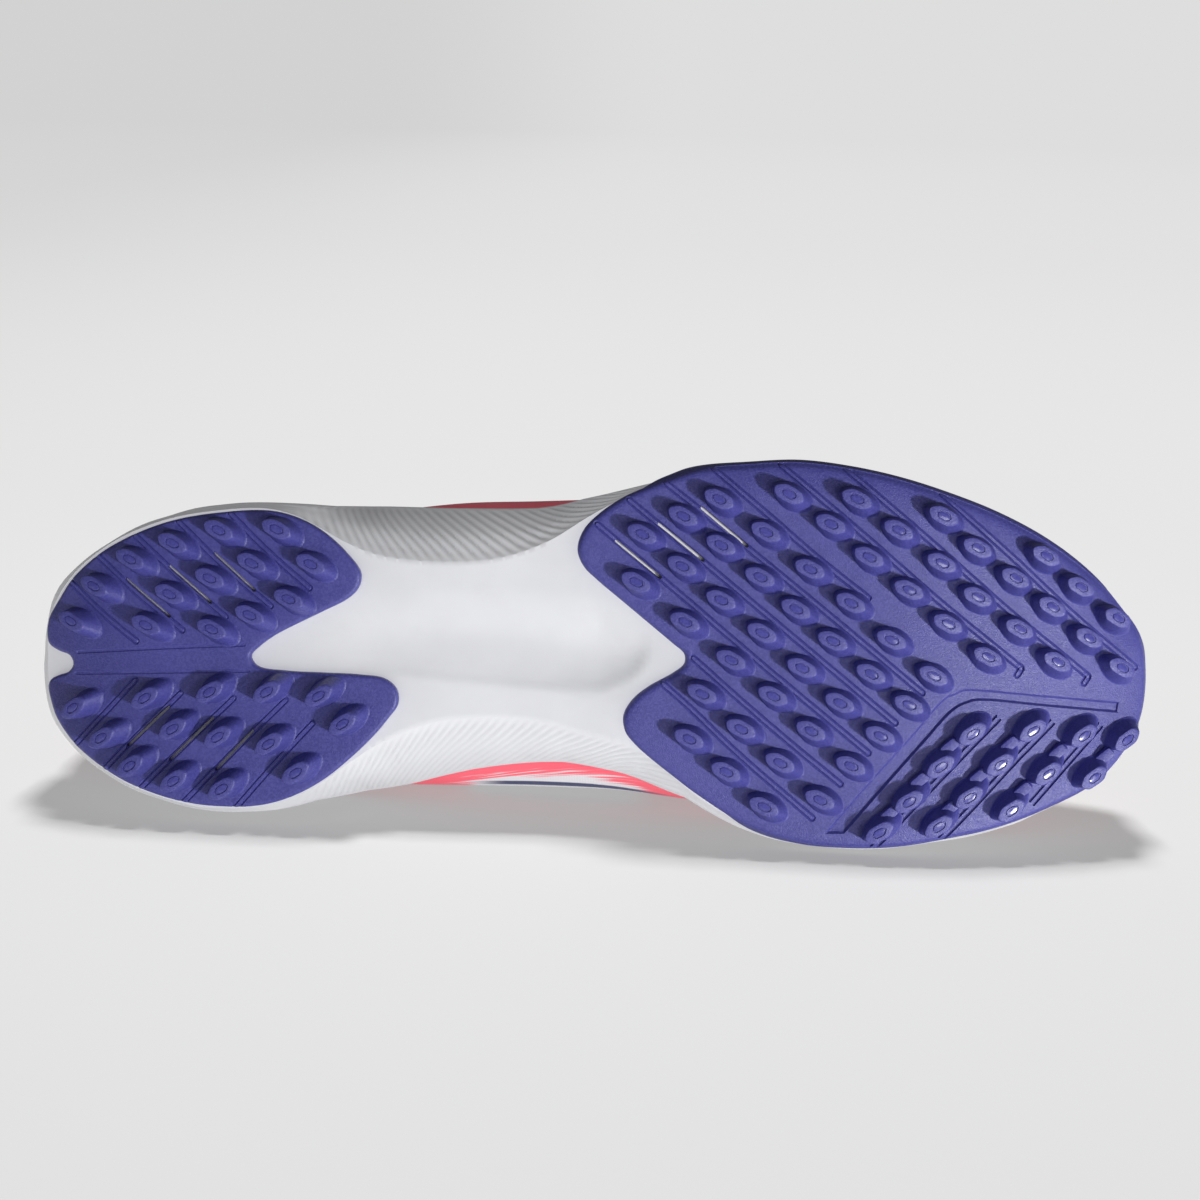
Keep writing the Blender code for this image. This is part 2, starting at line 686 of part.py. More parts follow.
# ---------------------------------------------------------------- tongue
TONGUE_S = (0.50, 0.55, 0.60, 0.65, 0.70, 0.75, 0.80, 0.84)
TONGUE_V = (1.76, 1.84, 1.92, 2.0)
TONGUE_TIP = (
    # behind the top eyelets: x, height, half width
    (108.0, 96.0, 14.0), (99.0, 99.6, 14.5), (91.0, 102.4, 14.0), (86.0, 103.8, 10.5),
)


def tongue():
    """Sections from one flap's inner face over the throat to the other's."""
    sections = []
    for x, z, w in TONGUE_TIP[::-1]:
        row = []
        for k in range(9):
            y = -w + 2 * w * k / 8
            row.append(Vector((x + 0.10 * abs(y), y, z - 0.010 * y * y)))
        sections.append((row, Vector((0.36, 0, -0.93))))
    for s in TONGUE_S:
        lat = [rib(-1, s, v) + inward(-1, s, v) * (WALL + 0.7) for v in TONGUE_V]
        med = [rib(1, s, v) + inward(1, s, v) * (WALL + 0.7) for v in TONGUE_V]
        mid = (lat[-1] + med[-1]) / 2 + Vector((0.3, 0, 0.9))
        row = lat + [mid] + med[::-1]
        sections.append((row, Vector((0.33, 0, -0.94))))
    bm = bmesh.new()
    tops = [[vert(bm, p) for p in row] for row, d in sections]
    lows = [[vert(bm, p + d.normalized() * TONGUE) for p in row] for row, d in sections]
    for grid in (tops, lows):
        for r0, r1 in zip(grid, grid[1:]):
            for k in range(len(r0) - 1):
                bm.faces.new((r0[k], r0[k + 1], r1[k + 1], r1[k]))
    for i in range(len(tops) - 1):
        for k in (0, -1):
            bm.faces.new((tops[i][k], tops[i + 1][k], lows[i + 1][k], lows[i][k]))
    for i in (0, -1):
        for k in range(len(tops[i]) - 1):
            bm.faces.new((tops[i][k], tops[i][k + 1], lows[i][k + 1], lows[i][k]))
    return to_object(bm, "tongue", TONGUE_M)


tongue()

# ------------------------------------------------------ eyelets and lace
EYELET_S = (0.485, 0.545, 0.605, 0.665, 0.725, 0.785)
EYELET_V = 1.86


def eyelet(side, s):
    return rib(side, s, EYELET_V), inward(side, s, EYELET_V)


def eyelet_cutters():
    bm = bmesh.new()
    for side in (-1, 1):
        for s in EYELET_S:
            p, n = eyelet(side, s)
            made = bmesh.ops.create_cone(bm, cap_ends=True, segments=10,
                                         radius1=EYELET_R * 0.001,
                                         radius2=EYELET_R * 0.001, depth=0.008)
            turn = n.to_track_quat('Z', 'Y').to_matrix().to_4x4()
            for w in made["verts"]:
                w.co = Matrix.Translation(p * 0.001) @ turn @ w.co
    obj = to_object(bm, "eyelet_cutters", None, cutters)
    obj.hide_render = True
    obj.display_type = 'WIRE'
    return obj


boolean(upper_obj, eyelet_cutters(), 'DIFFERENCE')

LACE_UP = LACE_R + 1.0
LACE_CROWN = 5.2


def lace_run(a, b, steps=6):
    """Points of one run of lace from eyelet a to eyelet b over the throat."""
    pa, na = eyelet(*a)
    pb, nb = eyelet(*b)
    pa, pb = pa - na * LACE_UP, pb - nb * LACE_UP
    out = []
    for k in range(steps + 1):
        t = k / steps
        p = pa.lerp(pb, t)
        p.z += LACE_CROWN * (1 - (2 * t - 1) ** 4)
        out.append(p)
    return out


def tube(bm, points, radius, sides=5):
    rings = []
    for i, p in enumerate(points):
        d = (points[min(i + 1, len(points) - 1)] - points[max(i - 1, 0)]).normalized()
        u = d.cross(Vector((0, 0, 1))).normalized()
        w = u.cross(d).normalized()
        rings.append([vert(bm, p + (u * math.cos(2 * math.pi * (k + 0.5) / sides)
                                    + w * math.sin(2 * math.pi * (k + 0.5) / sides)) * radius)
                      for k in range(sides)])
    for a, b in zip(rings, rings[1:]):
        strip(bm, a, b)
    bm.faces.new(rings[0])
    bm.faces.new(rings[-1])


def lace():
    runs = [((-1, EYELET_S[-1]), (1, EYELET_S[-1]))]
    for i in range(len(EYELET_S) - 1):
        runs.append(((-1, EYELET_S[i + 1]), (1, EYELET_S[i])))
        runs.append(((1, EYELET_S[i + 1]), (-1, EYELET_S[i])))
    knots = []
    for side in (-1, 1):
        for s in EYELET_S:
            p, n = eyelet(side, s)
            knots.append([p - n * (LACE_UP + LACE_R * 0.55), p - n * LACE_UP, p + n * 1.2])
    first = None
    for i, run in enumerate(runs):
        bm = bmesh.new()
        tube(bm, lace_run(*run), LACE_R * (1.0 + 0.004 * i))
        obj = to_object(bm, "lace" if first is None else "lace_run_%02d" % i, CORD,
                        shoe if first is None else cutters)
        if first is None:
            first = obj
        else:
            obj.hide_render = True
            obj.display_type = 'WIRE'
            boolean(first, obj, 'UNION')
    bm = bmesh.new()
    for knot in knots:
        tube(bm, knot, LACE_R * 1.12, sides=6)
    obj = to_object(bm, "lace_ends", CORD, cutters)
    obj.hide_render = True
    obj.display_type = 'WIRE'
    boolean(first, obj, 'UNION')
    return first


lace()

# ------------------------------------------------ laid on its inner side
# the shoe's y points down and its z away; then the three small turns that let
# ball, heel and collar touch the ground together, and the lift
LIE_ROLL = -12.6091    # degrees about the shoe's length
LIE_YAW = 0.2680       # degrees about the upright
LIE_PITCH = -2.4254    # degrees, toe up or down
LIE_SHIFT = (-136.080, -46.909, 42.333)

stand = Matrix(((1, 0, 0, 0), (0, 0, 1, 0), (0, -1, 0, 0), (0, 0, 0, 1)))
rest.matrix_world = (
    Matrix.Translation(Vector(LIE_SHIFT) * 0.001)
    @ Matrix.Rotation(math.radians(LIE_PITCH), 4, 'Y')
    @ Matrix.Rotation(math.radians(LIE_ROLL), 4, 'X')
    @ Matrix.Rotation(math.radians(LIE_YAW), 4, 'Z')
    @ stand)
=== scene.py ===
"""Turf shoe, right foot, lying on its inner side on a pale studio floor.

Every piece is drawn in the shoe's own frame (millimetres: x heel to toe,
y outer to inner side, z up from the lug tips) and laid down by one matrix, the
same as in the CAD. The materials turn the Object coordinates back into the
shoe's own axes, in metres.
"""
import math

import bmesh
import bpy
import numpy as np
from mathutils import Matrix, Vector
from mathutils.geometry import delaunay_2d_cdt


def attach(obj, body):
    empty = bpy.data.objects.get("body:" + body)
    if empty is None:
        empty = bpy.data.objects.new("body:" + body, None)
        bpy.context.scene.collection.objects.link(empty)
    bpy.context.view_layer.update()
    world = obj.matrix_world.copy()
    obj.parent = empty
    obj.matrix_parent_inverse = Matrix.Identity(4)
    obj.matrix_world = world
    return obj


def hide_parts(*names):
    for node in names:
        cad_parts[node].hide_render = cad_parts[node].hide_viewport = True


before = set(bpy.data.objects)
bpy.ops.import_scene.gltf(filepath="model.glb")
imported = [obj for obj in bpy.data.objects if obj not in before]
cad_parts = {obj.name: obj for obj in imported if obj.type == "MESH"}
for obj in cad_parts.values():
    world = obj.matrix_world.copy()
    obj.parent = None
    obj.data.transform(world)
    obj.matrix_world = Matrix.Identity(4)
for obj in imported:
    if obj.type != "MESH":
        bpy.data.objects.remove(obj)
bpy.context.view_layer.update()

# ------------------------------------------------------------ sizes, mm
UNIT = 0.2515
GAP = 0.3
PLATE = 2.2
LUG = 5.0
WALL = 2.0
LIP = 2.3
INSOLE = 3.6
TONGUE = 3.6
EYELET_R = 2.3
LACE_R = 1.5

LIE_ROLL = -12.6091
LIE_YAW = 0.2680
LIE_PITCH = -2.4254
LIE_SHIFT = (-136.080, -46.909, 42.333)
stand = Matrix(((1, 0, 0, 0), (0, 0, 1, 0), (0, -1, 0, 0), (0, 0, 0, 1)))
REST = (
    Matrix.Translation(Vector(LIE_SHIFT) * 0.001)
    @ Matrix.Rotation(math.radians(LIE_PITCH), 4, 'Y')
    @ Matrix.Rotation(math.radians(LIE_ROLL), 4, 'X')
    @ Matrix.Rotation(math.radians(LIE_YAW), 4, 'Z')
    @ stand)

# the plan drawing is seen from a point, not square on
VIEW_FOOT = (166.5, -35.2)
VIEW_AIM = (139.1, -15.1)
VIEW_DISTANCE = 500.0
PLAN_CENTRE = 600.0

_eye = Vector((VIEW_FOOT[0], VIEW_FOOT[1], -VIEW_DISTANCE))
_ahead = (Vector((VIEW_AIM[0], VIEW_AIM[1], 0.0)) - _eye)
_focal = _ahead.length / UNIT
_ahead.normalize()
_right = (Vector((1, 0, 0)) - _ahead * _ahead.x).normalized()
_down = _ahead.cross(_right)


def plan(u, v, z):
    """A point of the plan drawing, at height z, in the shoe's millimetres."""
    ray = _ahead * _focal + _right * (u - PLAN_CENTRE) + _down * (v - PLAN_CENTRE)
    hit = _eye + ray * ((z + VIEW_DISTANCE) / ray.z)
    return Vector((hit.x, hit.y))


PROFILE = (
    # x     tread   bed    rim_lat rim_med
    (-8.0, 12.5, 27.6, 34.5, 34.5),
    (4.0, 8.4, 27.2, 34.5, 34.5),
    (18.0, 5.5, 26.7, 33.6, 33.8),
    (32.0, 5.0, 26.2, 32.6, 33.2),
    (60.0, 5.0, 25.6, 31.4, 32.6),
    (88.0, 5.0, 24.4, 30.4, 30.8),
    (112.0, 5.0, 22.8, 29.0, 28.8),
    (138.0, 5.0, 20.4, 27.0, 26.4),
    (165.0, 5.0, 18.2, 25.0, 24.8),
    (190.0, 5.0, 16.8, 23.6, 23.6),
    (212.0, 5.1, 16.5, 23.2, 23.2),
    (228.0, 6.4, 17.4, 24.0, 24.0),
    (244.0, 9.2, 19.6, 26.2, 26.2),
    (258.0, 12.8, 22.6, 29.2, 29.2),
    (270.0, 16.8, 26.0, 32.4, 32.4),
    (286.0, 23.4, 31.6, 38.0, 38.0),
)
TREAD, BED, RIM_LAT, RIM_MED = 1, 2, 3, 4
ARCH = (92.0, 168.0, 2.0)


def height(column, x):
    rows = PROFILE
    x = min(max(x, rows[0][0]), rows[-1][0])
    i = max(k for k in range(len(rows) - 1) if rows[k][0] <= x)
    p0, p1 = rows[max(i - 1, 0)], rows[i]
    p2, p3 = rows[i + 1], rows[min(i + 2, len(rows) - 1)]
    h = p2[0] - p1[0]
    t = (x - p1[0]) / h
    m1 = (p2[column] - p0[column]) / (p2[0] - p0[0])
    m2 = (p3[column] - p1[column]) / (p3[0] - p1[0])
    return ((2 * t**3 - 3 * t**2 + 1) * p1[column] + (t**3 - 2 * t**2 + t) * h * m1
            + (-2 * t**3 + 3 * t**2) * p2[column] + (t**3 - t**2) * h * m2)


def waist(x):
    a, b, lift = ARCH
    if x <= a or x >= b:
        return 0.0
    return lift * math.sin(math.pi * (x - a) / (b - a)) ** 2


def tread(x):
    return height(TREAD, x)


def under(x):
    return tread(x) + PLATE + GAP + waist(x)


_tread_x = np.linspace(-12.0, 290.0, 1209)
_tread_z = np.array([tread(x) for x in _tread_x])


def treads(x):
    return np.interp(x, _tread_x, _tread_z)


EDGE = (
    # along  lateral medial
    (52, 604, 712), (73, 572, 745), (98, 548, 769), (123, 530, 786),
    (148, 519, 797), (173, 510, 806), (198, 505, 811), (223, 502, 813),
    (273, 502, 811), (323, 505, 800), (373, 506, 789), (423, 507, 781),
    (498, 505, 764), (548, 500, 760), (598, 491, 772), (648, 480, 790),
    (698, 467, 806), (748, 463, 828), (798, 461, 844), (848, 467, 849),
    (898, 478, 848), (948, 494, 840), (998, 514, 829), (1048, 541, 810),
    (1098, 579, 783), (1127, 613, 750),
)
EDGE_HEEL, EDGE_TOE = (46, 659), (1147, 664)
FOOT_EDGE = (
    (53, 610, 708), (73, 576, 741), (98, 553, 765), (123, 537, 782),
    (148, 526, 793), (173, 518, 801), (198, 513, 807), (223, 510, 808),
    (248, 508, 808), (273, 509, 804), (298, 516, 795), (323, 529, 781),
    (348, 543, 763), (378, 555, 744), (432, 562, 722), (496, 559, 717),
    (547, 542, 723), (590, 516, 736), (623, 498, 744), (648, 486, 757),
    (673, 477, 777), (698, 470, 797), (748, 466, 826), (798, 463, 842),
    (848, 468, 847), (898, 480, 846), (948, 496, 838), (998, 516, 827),
    (1048, 543, 808), (1098, 581, 781), (1125, 613, 750),
)
FOOT_HEEL, FOOT_TOE = (48, 659), (1144, 664)
LAST = (
    # x      lateral medial
    (-1.0, -14.0, 14.0), (6.0, -22.8, 22.8), (17.0, -29.4, 29.4),
    (33.0, -33.8, 34.0), (55.0, -35.8, 35.6), (78.0, -36.2, 33.6),
    (100.0, -35.6, 29.4), (122.0, -35.6, 26.6), (142.0, -37.4, 27.6),
    (160.0, -41.0, 33.4), (180.0, -44.6, 39.2), (200.0, -45.6, 43.8),
    (220.0, -42.8, 44.4), (238.0, -36.4, 41.6), (252.0, -29.2, 36.8),
    (264.0, -20.6, 29.8), (272.0, -11.0, 21.3),
)
LAST_HEEL, LAST_TOE = (-5.0, 0.0), (276.6, 6.0)
BELLY = (
    # x      lateral medial
    (-2.4, -12.0, 12.0), (5.0, -21.6, 21.6), (17.0, -28.0, 27.6),
    (34.0, -32.0, 31.4), (56.0, -34.8, 34.4), (78.0, -37.6, 37.0),
    (100.0, -39.9, 37.4), (122.0, -40.4, 37.6), (142.0, -41.2, 38.2),
    (160.0, -43.6, 40.2), (180.0, -45.8, 42.4), (200.0, -45.8, 44.0),
    (220.0, -42.8, 44.0), (238.0, -36.6, 41.2), (252.0, -29.6, 36.4),
    (264.0, -20.8, 29.4), (271.5, -11.6, 21.2),
)
BELLY_HEEL, BELLY_TOE = (-6.2, 0.0), (276.4, 6.0)


def smooth_loop(points, per=6):
    n, out = len(points), []
    for i in range(n):
        p0, p1, p2, p3 = (points[(i + k - 1) % n] for k in range(4))
        t0 = 0.0
        t1 = t0 + max((p1 - p0).length, 1e-6) ** 0.5
        t2 = t1 + max((p2 - p1).length, 1e-6) ** 0.5
        t3 = t2 + max((p3 - p2).length, 1e-6) ** 0.5
        for k in range(per):
            t = t1 + (t2 - t1) * k / per
            a1 = p0 * ((t1 - t) / (t1 - t0)) + p1 * ((t - t0) / (t1 - t0))
            a2 = p1 * ((t2 - t) / (t2 - t1)) + p2 * ((t - t1) / (t2 - t1))
            a3 = p2 * ((t3 - t) / (t3 - t2)) + p3 * ((t - t2) / (t3 - t2))
            b1 = a1 * ((t2 - t) / (t2 - t0)) + a2 * ((t - t0) / (t2 - t0))
            b2 = a2 * ((t3 - t) / (t3 - t1)) + a3 * ((t - t1) / (t3 - t1))
            out.append(b1 * ((t2 - t) / (t2 - t1)) + b2 * ((t - t1) / (t2 - t1)))
    return out


class Outline:
    """A closed outline read at a share s of the way from heel to toe."""

    def __init__(self, rows, heel, toe):
        lat = [Vector((x, a)) for x, a, b in rows]
        med = [Vector((x, b)) for x, a, b in rows]
        heel, toe = Vector(heel), Vector(toe)
        dense = smooth_loop([heel] + lat + [toe] + med[::-1])
        turn = 6 * (len(rows) + 1)
        self.sides = {-1: dense[:turn + 1], 1: ([dense[0]] + dense[:turn - 1:-1])}
        self.runs = {}
        for side, line in self.sides.items():
            run = [0.0]
            for a, b in zip(line, line[1:]):
                run.append(run[-1] + (b - a).length)
            self.runs[side] = run

    def at(self, side, s):
        line, run = self.sides[side], self.runs[side]
        want = min(max(s, 0.0), 1.0) * run[-1]
        i = 0
        while i < len(run) - 2 and run[i + 1] < want:
            i += 1
        t = (want - run[i]) / max(run[i + 1] - run[i], 1e-9)
        return line[i].lerp(line[i + 1], t)

    def out(self, side, s):
        d = self.at(side, s + 0.01) - self.at(side, s - 0.01)
        n = Vector((d.y, -d.x)) if side < 0 else Vector((-d.y, d.x))
        return n.normalized()


def from_plan(rows, heel, toe, level):
    def put(u, v):
        p = plan(u, v, 10.0)
        for _ in range(3):
            p = plan(u, v, level(p.x))
        return p
    table = []
    for u, a, b in rows:
        pa, pb = put(u, a), put(u, b)
        table.append(((pa.x + pb.x) / 2, pa.y, pb.y))
    return Outline(table, put(*heel), put(*toe))


edge = from_plan(EDGE, EDGE_HEEL, EDGE_TOE, lambda x: tread(x) + 8.0)
foot_edge = from_plan(FOOT_EDGE, FOOT_HEEL, FOOT_TOE, under)
last = Outline(LAST, LAST_HEEL, LAST_TOE)
belly = Outline(BELLY, BELLY_HEEL, BELLY_TOE)


def blend(table, s):
    i = 0
    while i < len(table) - 2 and table[i + 1][0] < s:
        i += 1
    p1, p2 = table[i], table[i + 1]
    p0 = table[i - 1] if i else None
    p3 = table[i + 2] if i + 2 < len(table) else None
    h = p2[0] - p1[0]
    t = (s - p1[0]) / h
    out = []
    for c in range(1, len(p1)):
        m1 = (p2[c] - p0[c]) / (p2[0] - p0[0]) if p0 else (p2[c] - p1[c]) / h
        m2 = (p3[c] - p1[c]) / (p3[0] - p1[0]) if p3 else (p2[c] - p1[c]) / h
        out.append((2 * t**3 - 3 * t**2 + 1) * p1[c] + (t**3 - 2 * t**2 + t) * h * m1
                   + (-2 * t**3 + 3 * t**2) * p2[c] + (t**3 - t**2) * h * m2)
    return out


TOPLINE = (
    # s     x      lat    med    z      reach  drop
    (0.00, 4.0, 0.0, 0.0, 92.0, 0.8, 24.0),
    (0.06, 7.6, -11.5, 11.5, 91.0, 1.0, 23.0),
    (0.12, 17.5, -20.4, 20.2, 87.0, 1.2, 21.0),
    (0.20, 40.0, -27.0, 26.8, 76.0, 1.5, 16.0),
    (0.28, 64.0, -31.2, 31.0, 68.0, 1.2, 13.0),
    (0.35, 84.0, -30.8, 29.6, 70.5, 4.0, 14.0),
    (0.41, 100.0, -25.5, 24.5, 82.5, 8.0, 17.0),
    (0.46, 111.0, -17.4, 16.8, 94.0, 11.0, 14.0),
    (0.53, 127.0, -13.6, 13.2, 90.6, 13.0, 9.0),
    (0.61, 146.0, -12.0, 11.6, 82.6, 15.0, 7.0),
    (0.69, 164.0, -10.6, 10.4, 74.6, 17.0, 6.0),
    (0.77, 179.0, -8.8, 8.8, 67.9, 19.0, 5.6),
    (0.85, 188.5, -6.2, 6.4, 63.8, 23.0, 6.0),
    (0.93, 193.0, -3.0, 3.4, 61.9, 32.0, 7.0),
    (1.00, 194.0, 0.4, 0.4, 61.4, 42.0, 8.0),
)
BELLY_Z = (
    (0.00, 46.0), (0.20, 43.0), (0.40, 42.0), (0.55, 38.5), (0.70, 34.0),
    (0.85, 35.5), (1.00, 41.0),
)
FULLNESS = ((0.00, 0.5), (0.35, 0.5), (0.55, 0.40), (0.75, 0.36), (1.00, 0.5))


def rim_height(side, x, s):
    k = min(1.0, max(0.0, (s - 0.04) / 0.08)) * min(1.0, max(0.0, (0.96 - s) / 0.08))
    mid = (height(RIM_LAT, x) + height(RIM_MED, x)) / 2
    own = height(RIM_LAT if side < 0 else RIM_MED, x)
    return mid + (own - mid) * k


def cubic(a, b, c, d, t):
    return (a * (1 - t) ** 3 + b * (3 * t * (1 - t) ** 2)
            + c * (3 * t * t * (1 - t)) + d * t**3)


class Rib:
    """One rib of the upper at a side and share; at(v)."""

    def __init__(self, side, s):
        f = last.at(side, s)
        b = belly.at(side, s)
        bz = blend(BELLY_Z, s)[0]
        x, lat, med, z, reach, drop = blend(TOPLINE, s)
        self.f3 = Vector((f.x, f.y, height(BED, f.x) + GAP))
        self.b3 = Vector((b.x, b.y, bz))
        self.t3 = Vector((x, lat if side < 0 else med, z))
        self.free = Vector((f.x, f.y, rim_height(side, f.x, s) + 0.2))
        rise = bz - self.free.z
        self.c1 = self.free + Vector((0, 0, rise * 0.25))
        self.c2 = self.b3 - Vector((0, 0, rise * 0.5))
        d = Vector((b.x - x, b.y - self.t3.y, 0.0))
        d = d.normalized() if d.length > 1.0 else Vector((-1, 0, 0))
        lift = (z - bz) * blend(FULLNESS, s)[0]
        self.d1 = self.b3 + Vector((0, 0, lift))
        self.d2 = self.t3 + d * reach - Vector((0, 0, drop))

    def at(self, v):
        if v <= 0.4:
            return self.f3.lerp(self.free, v / 0.4)
        if v <= 1.0:
            return cubic(self.free, self.c1, self.c2, self.b3, (v - 0.4) / 0.6)
        return cubic(self.b3, self.d1, self.d2, self.t3, v - 1.0)


def rib(side, s, v):
    return Rib(side, s).at(v)


def inward(side, s, v):
    e = 0.02
    a = rib(side, min(s + e, 1.0), v) - rib(side, max(s - e, 0.0), v)
    b = rib(side, s, min(v + e, 2.0)) - rib(side, s, max(v - e, 0.0))
    n = a.cross(b).normalized()
    return -n if side < 0 else n


# ------------------------------------------------------------ mesh helpers
_turn = np.array(REST.to_3x3())
_shift = np.array(REST.translation)
REST_BACK = REST.inverted()


def laid(verts):
    """Points of the shoe, in mm, as places in the scene; none is under the floor."""
    out = np.asarray([tuple(v) for v in verts], float) * 0.001 @ _turn.T + _shift
    out[:, 2] = np.maximum(out[:, 2], 0.00003)
    return out


def finish_mesh(name, verts, faces, mats, angle=38.0, index=None, flip_check=True):
    """A piece given in the shoe's frame, laid down with the rest of the shoe."""
    mesh = bpy.data.meshes.new(name)
    mesh.from_pydata(laid(verts).tolist(), [],
                     [tuple(int(i) for i in f) for f in faces])
    for m in mats:
        mesh.materials.append(m)
    if index is not None:
        mesh.polygons.foreach_set("material_index", np.asarray(index, np.int32))
    if flip_check:
        bm = bmesh.new()
        bm.from_mesh(mesh)
        bmesh.ops.recalc_face_normals(bm, faces=bm.faces)
        bm.to_mesh(mesh)
        bm.free()
    mesh.shade_smooth()
    mesh.set_sharp_from_angle(angle=math.radians(angle))
    mesh.update()
    obj = bpy.data.objects.new(name, mesh)
    bpy.context.scene.collection.objects.link(obj)
    return obj


def torus_faces(n, m):
    """Quads of a grid of n columns and m rows, closed both ways."""
    out = []
    for i in range(n):
        j = (i + 1) % n
        for k in range(m):
            q = (k + 1) % m
            out.append((i * m + k, j * m + k, j * m + q, i * m + q))
    return out


def resample(points, step, closed=False):
    pts = np.array([(p[0], p[1]) for p in points], float)
    if closed:
        pts = np.vstack([pts, pts[:1]])
    seg = np.linalg.norm(np.diff(pts, axis=0), axis=1)
    run = np.concatenate([[0.0], np.cumsum(seg)])
    count = max(2, int(round(run[-1] / step)))
    want = np.linspace(0.0, run[-1], count + 1)
    if closed:
        want = want[:-1]
    return np.stack([np.interp(want, run, pts[:, 0]), np.interp(want, run, pts[:, 1])], 1)


def normals_2d(line, closed=False):
    if closed:
        d = np.roll(line, -1, 0) - np.roll(line, 1, 0)
    else:
        d = np.gradient(line, axis=0)
    d /= np.maximum(np.linalg.norm(d, axis=1), 1e-9)[:, None]
    return np.stack([-d[:, 1], d[:, 0]], 1)


def distance_to(line, pts, closed=False, chunk=4000):
    """Distance from each point to a polyline, and the nearest segment."""
    a = line if closed else line[:-1]
    b = np.roll(line, -1, 0) if closed else line[1:]
    d = b - a
    dd = np.maximum((d * d).sum(1), 1e-12)
    best = np.empty(len(pts))
    near = np.empty(len(pts), int)
    for i in range(0, len(pts), chunk):
        p = pts[i:i + chunk, None, :]
        t = np.clip(((p - a) * d).sum(2) / dd, 0, 1)
        q = a + t[..., None] * d
        r = np.linalg.norm(p - q, axis=2)
        near[i:i + chunk] = r.argmin(1)
        best[i:i + chunk] = r.min(1)
    return best, near


def inside(poly, pts):
    x, y = pts[:, 0], pts[:, 1]
    a, b = poly, np.roll(poly, -1, 0)
    hit = np.zeros(len(pts), bool)
    for (ax, ay), (bx, by) in zip(a, b):
        cross = ((ay > y) != (by > y))
        with np.errstate(divide='ignore', invalid='ignore'):
            xi = ax + (y - ay) * (bx - ax) / (by - ay)
        hit ^= cross & (x < xi)
    return hit


def smooth(x, a, b):
    t = np.clip((x - a) / (b - a), 0.0, 1.0)
    return t * t * (3 - 2 * t)


def path_share(points, s):
    """Linear reading of a short table."""
    return np.interp(s, [p[0] for p in points], [p[1] for p in points])


def on_tread(u, v, lift=0.0):
    p = plan(u, v, 5.0)
    for _ in range(3):
        p = plan(u, v, tread(p.x) - lift)
    return p


# -------------------------------------------------------------- materials
class Paint:
    """A Principled material and short calls to build its nodes."""

    def __init__(self, name, rough=0.5, spec=0.5):
        self.mat = bpy.data.materials.new(name)
        self.mat.use_nodes = True
        self.tree = self.mat.node_tree
        self.shader = self.tree.nodes["Principled BSDF"]
        self.shader.inputs["Roughness"].default_value = rough
        self.shader.inputs["Specular IOR Level"].default_value = spec
        coords = self.tree.nodes.new("ShaderNodeTexCoord")
        back = self.tree.nodes.new("ShaderNodeMapping")
        back.inputs["Location"].default_value = REST_BACK.translation
        back.inputs["Rotation"].default_value = REST_BACK.to_euler('XYZ')
        self.tree.links.new(coords.outputs["Object"], back.inputs["Vector"])
        self.object = back.outputs["Vector"]

    def node(self, kind, **values):
        made = self.tree.nodes.new(kind)
        for key, value in values.items():
            if key in made.bl_rna.properties and key not in made.inputs:
                setattr(made, key, value)
            else:
                self.feed(made.inputs[key], value)
        return made

    def feed(self, socket, value):
        if isinstance(value, bpy.types.NodeSocket):
            self.tree.links.new(value, socket)
        else:
            socket.default_value = value

    def math(self, op, a, b=0.0, c=0.0, clamp=False):
        made = self.tree.nodes.new("ShaderNodeMath")
        made.operation = op
        made.use_clamp = clamp
        for socket, value in zip(made.inputs, (a, b, c)):
            self.feed(socket, value)
        return made.outputs[0]

    def ramp(self, value, lo, hi, to_lo=0.0, to_hi=1.0, soft=True):
        made = self.tree.nodes.new("ShaderNodeMapRange")
        made.interpolation_type = 'SMOOTHSTEP' if soft else 'LINEAR'
        made.clamp = True
        for key, v in zip(("Value", "From Min", "From Max", "To Min", "To Max"),
                          (value, lo, hi, to_lo, to_hi)):
            self.feed(made.inputs[key], v)
        return made.outputs[0]

    def mix(self, factor, a, b):
        made = self.tree.nodes.new("ShaderNodeMix")
        made.data_type = 'RGBA'
        self.feed(made.inputs[0], factor)
        self.feed(made.inputs[6], a)
        self.feed(made.inputs[7], b)
        return made.outputs[2]

    def noise(self, scale, detail=3.0, rough=0.5, at=None, stretch=None):
        vec = at or self.object
        if stretch:
            vec = self.node("ShaderNodeMapping", Vector=vec, Scale=stretch).outputs[0]
        made = self.node("ShaderNodeTexNoise", Vector=vec, Scale=scale, Detail=detail,
                         Roughness=rough)
        return made.outputs["Fac"]

    def axes(self):
        made = self.node("ShaderNodeSeparateXYZ", Vector=self.object)
        return made.outputs[0], made.outputs[1], made.outputs[2]

    def value(self, name):
        made = self.node("ShaderNodeAttribute", attribute_name=name)
        return made.outputs["Fac"]

    def bump(self, layers):
        """Chained bumps: (height, strength, distance in mm)."""
        normal = None
        for h, strength, dist in layers:
            made = self.node("ShaderNodeBump", Height=h, Strength=strength,
                             Distance=dist * 0.001)
            if normal is not None:
                self.feed(made.inputs["Normal"], normal)
            normal = made.outputs[0]
        self.feed(self.shader.inputs["Normal"], normal)

    def colour(self, value):
        self.feed(self.shader.inputs["Base Color"], value)

    def rough(self, value):
        self.feed(self.shader.inputs["Roughness"], value)


def rgb(r, g, b):
    return (r, g, b, 1.0)


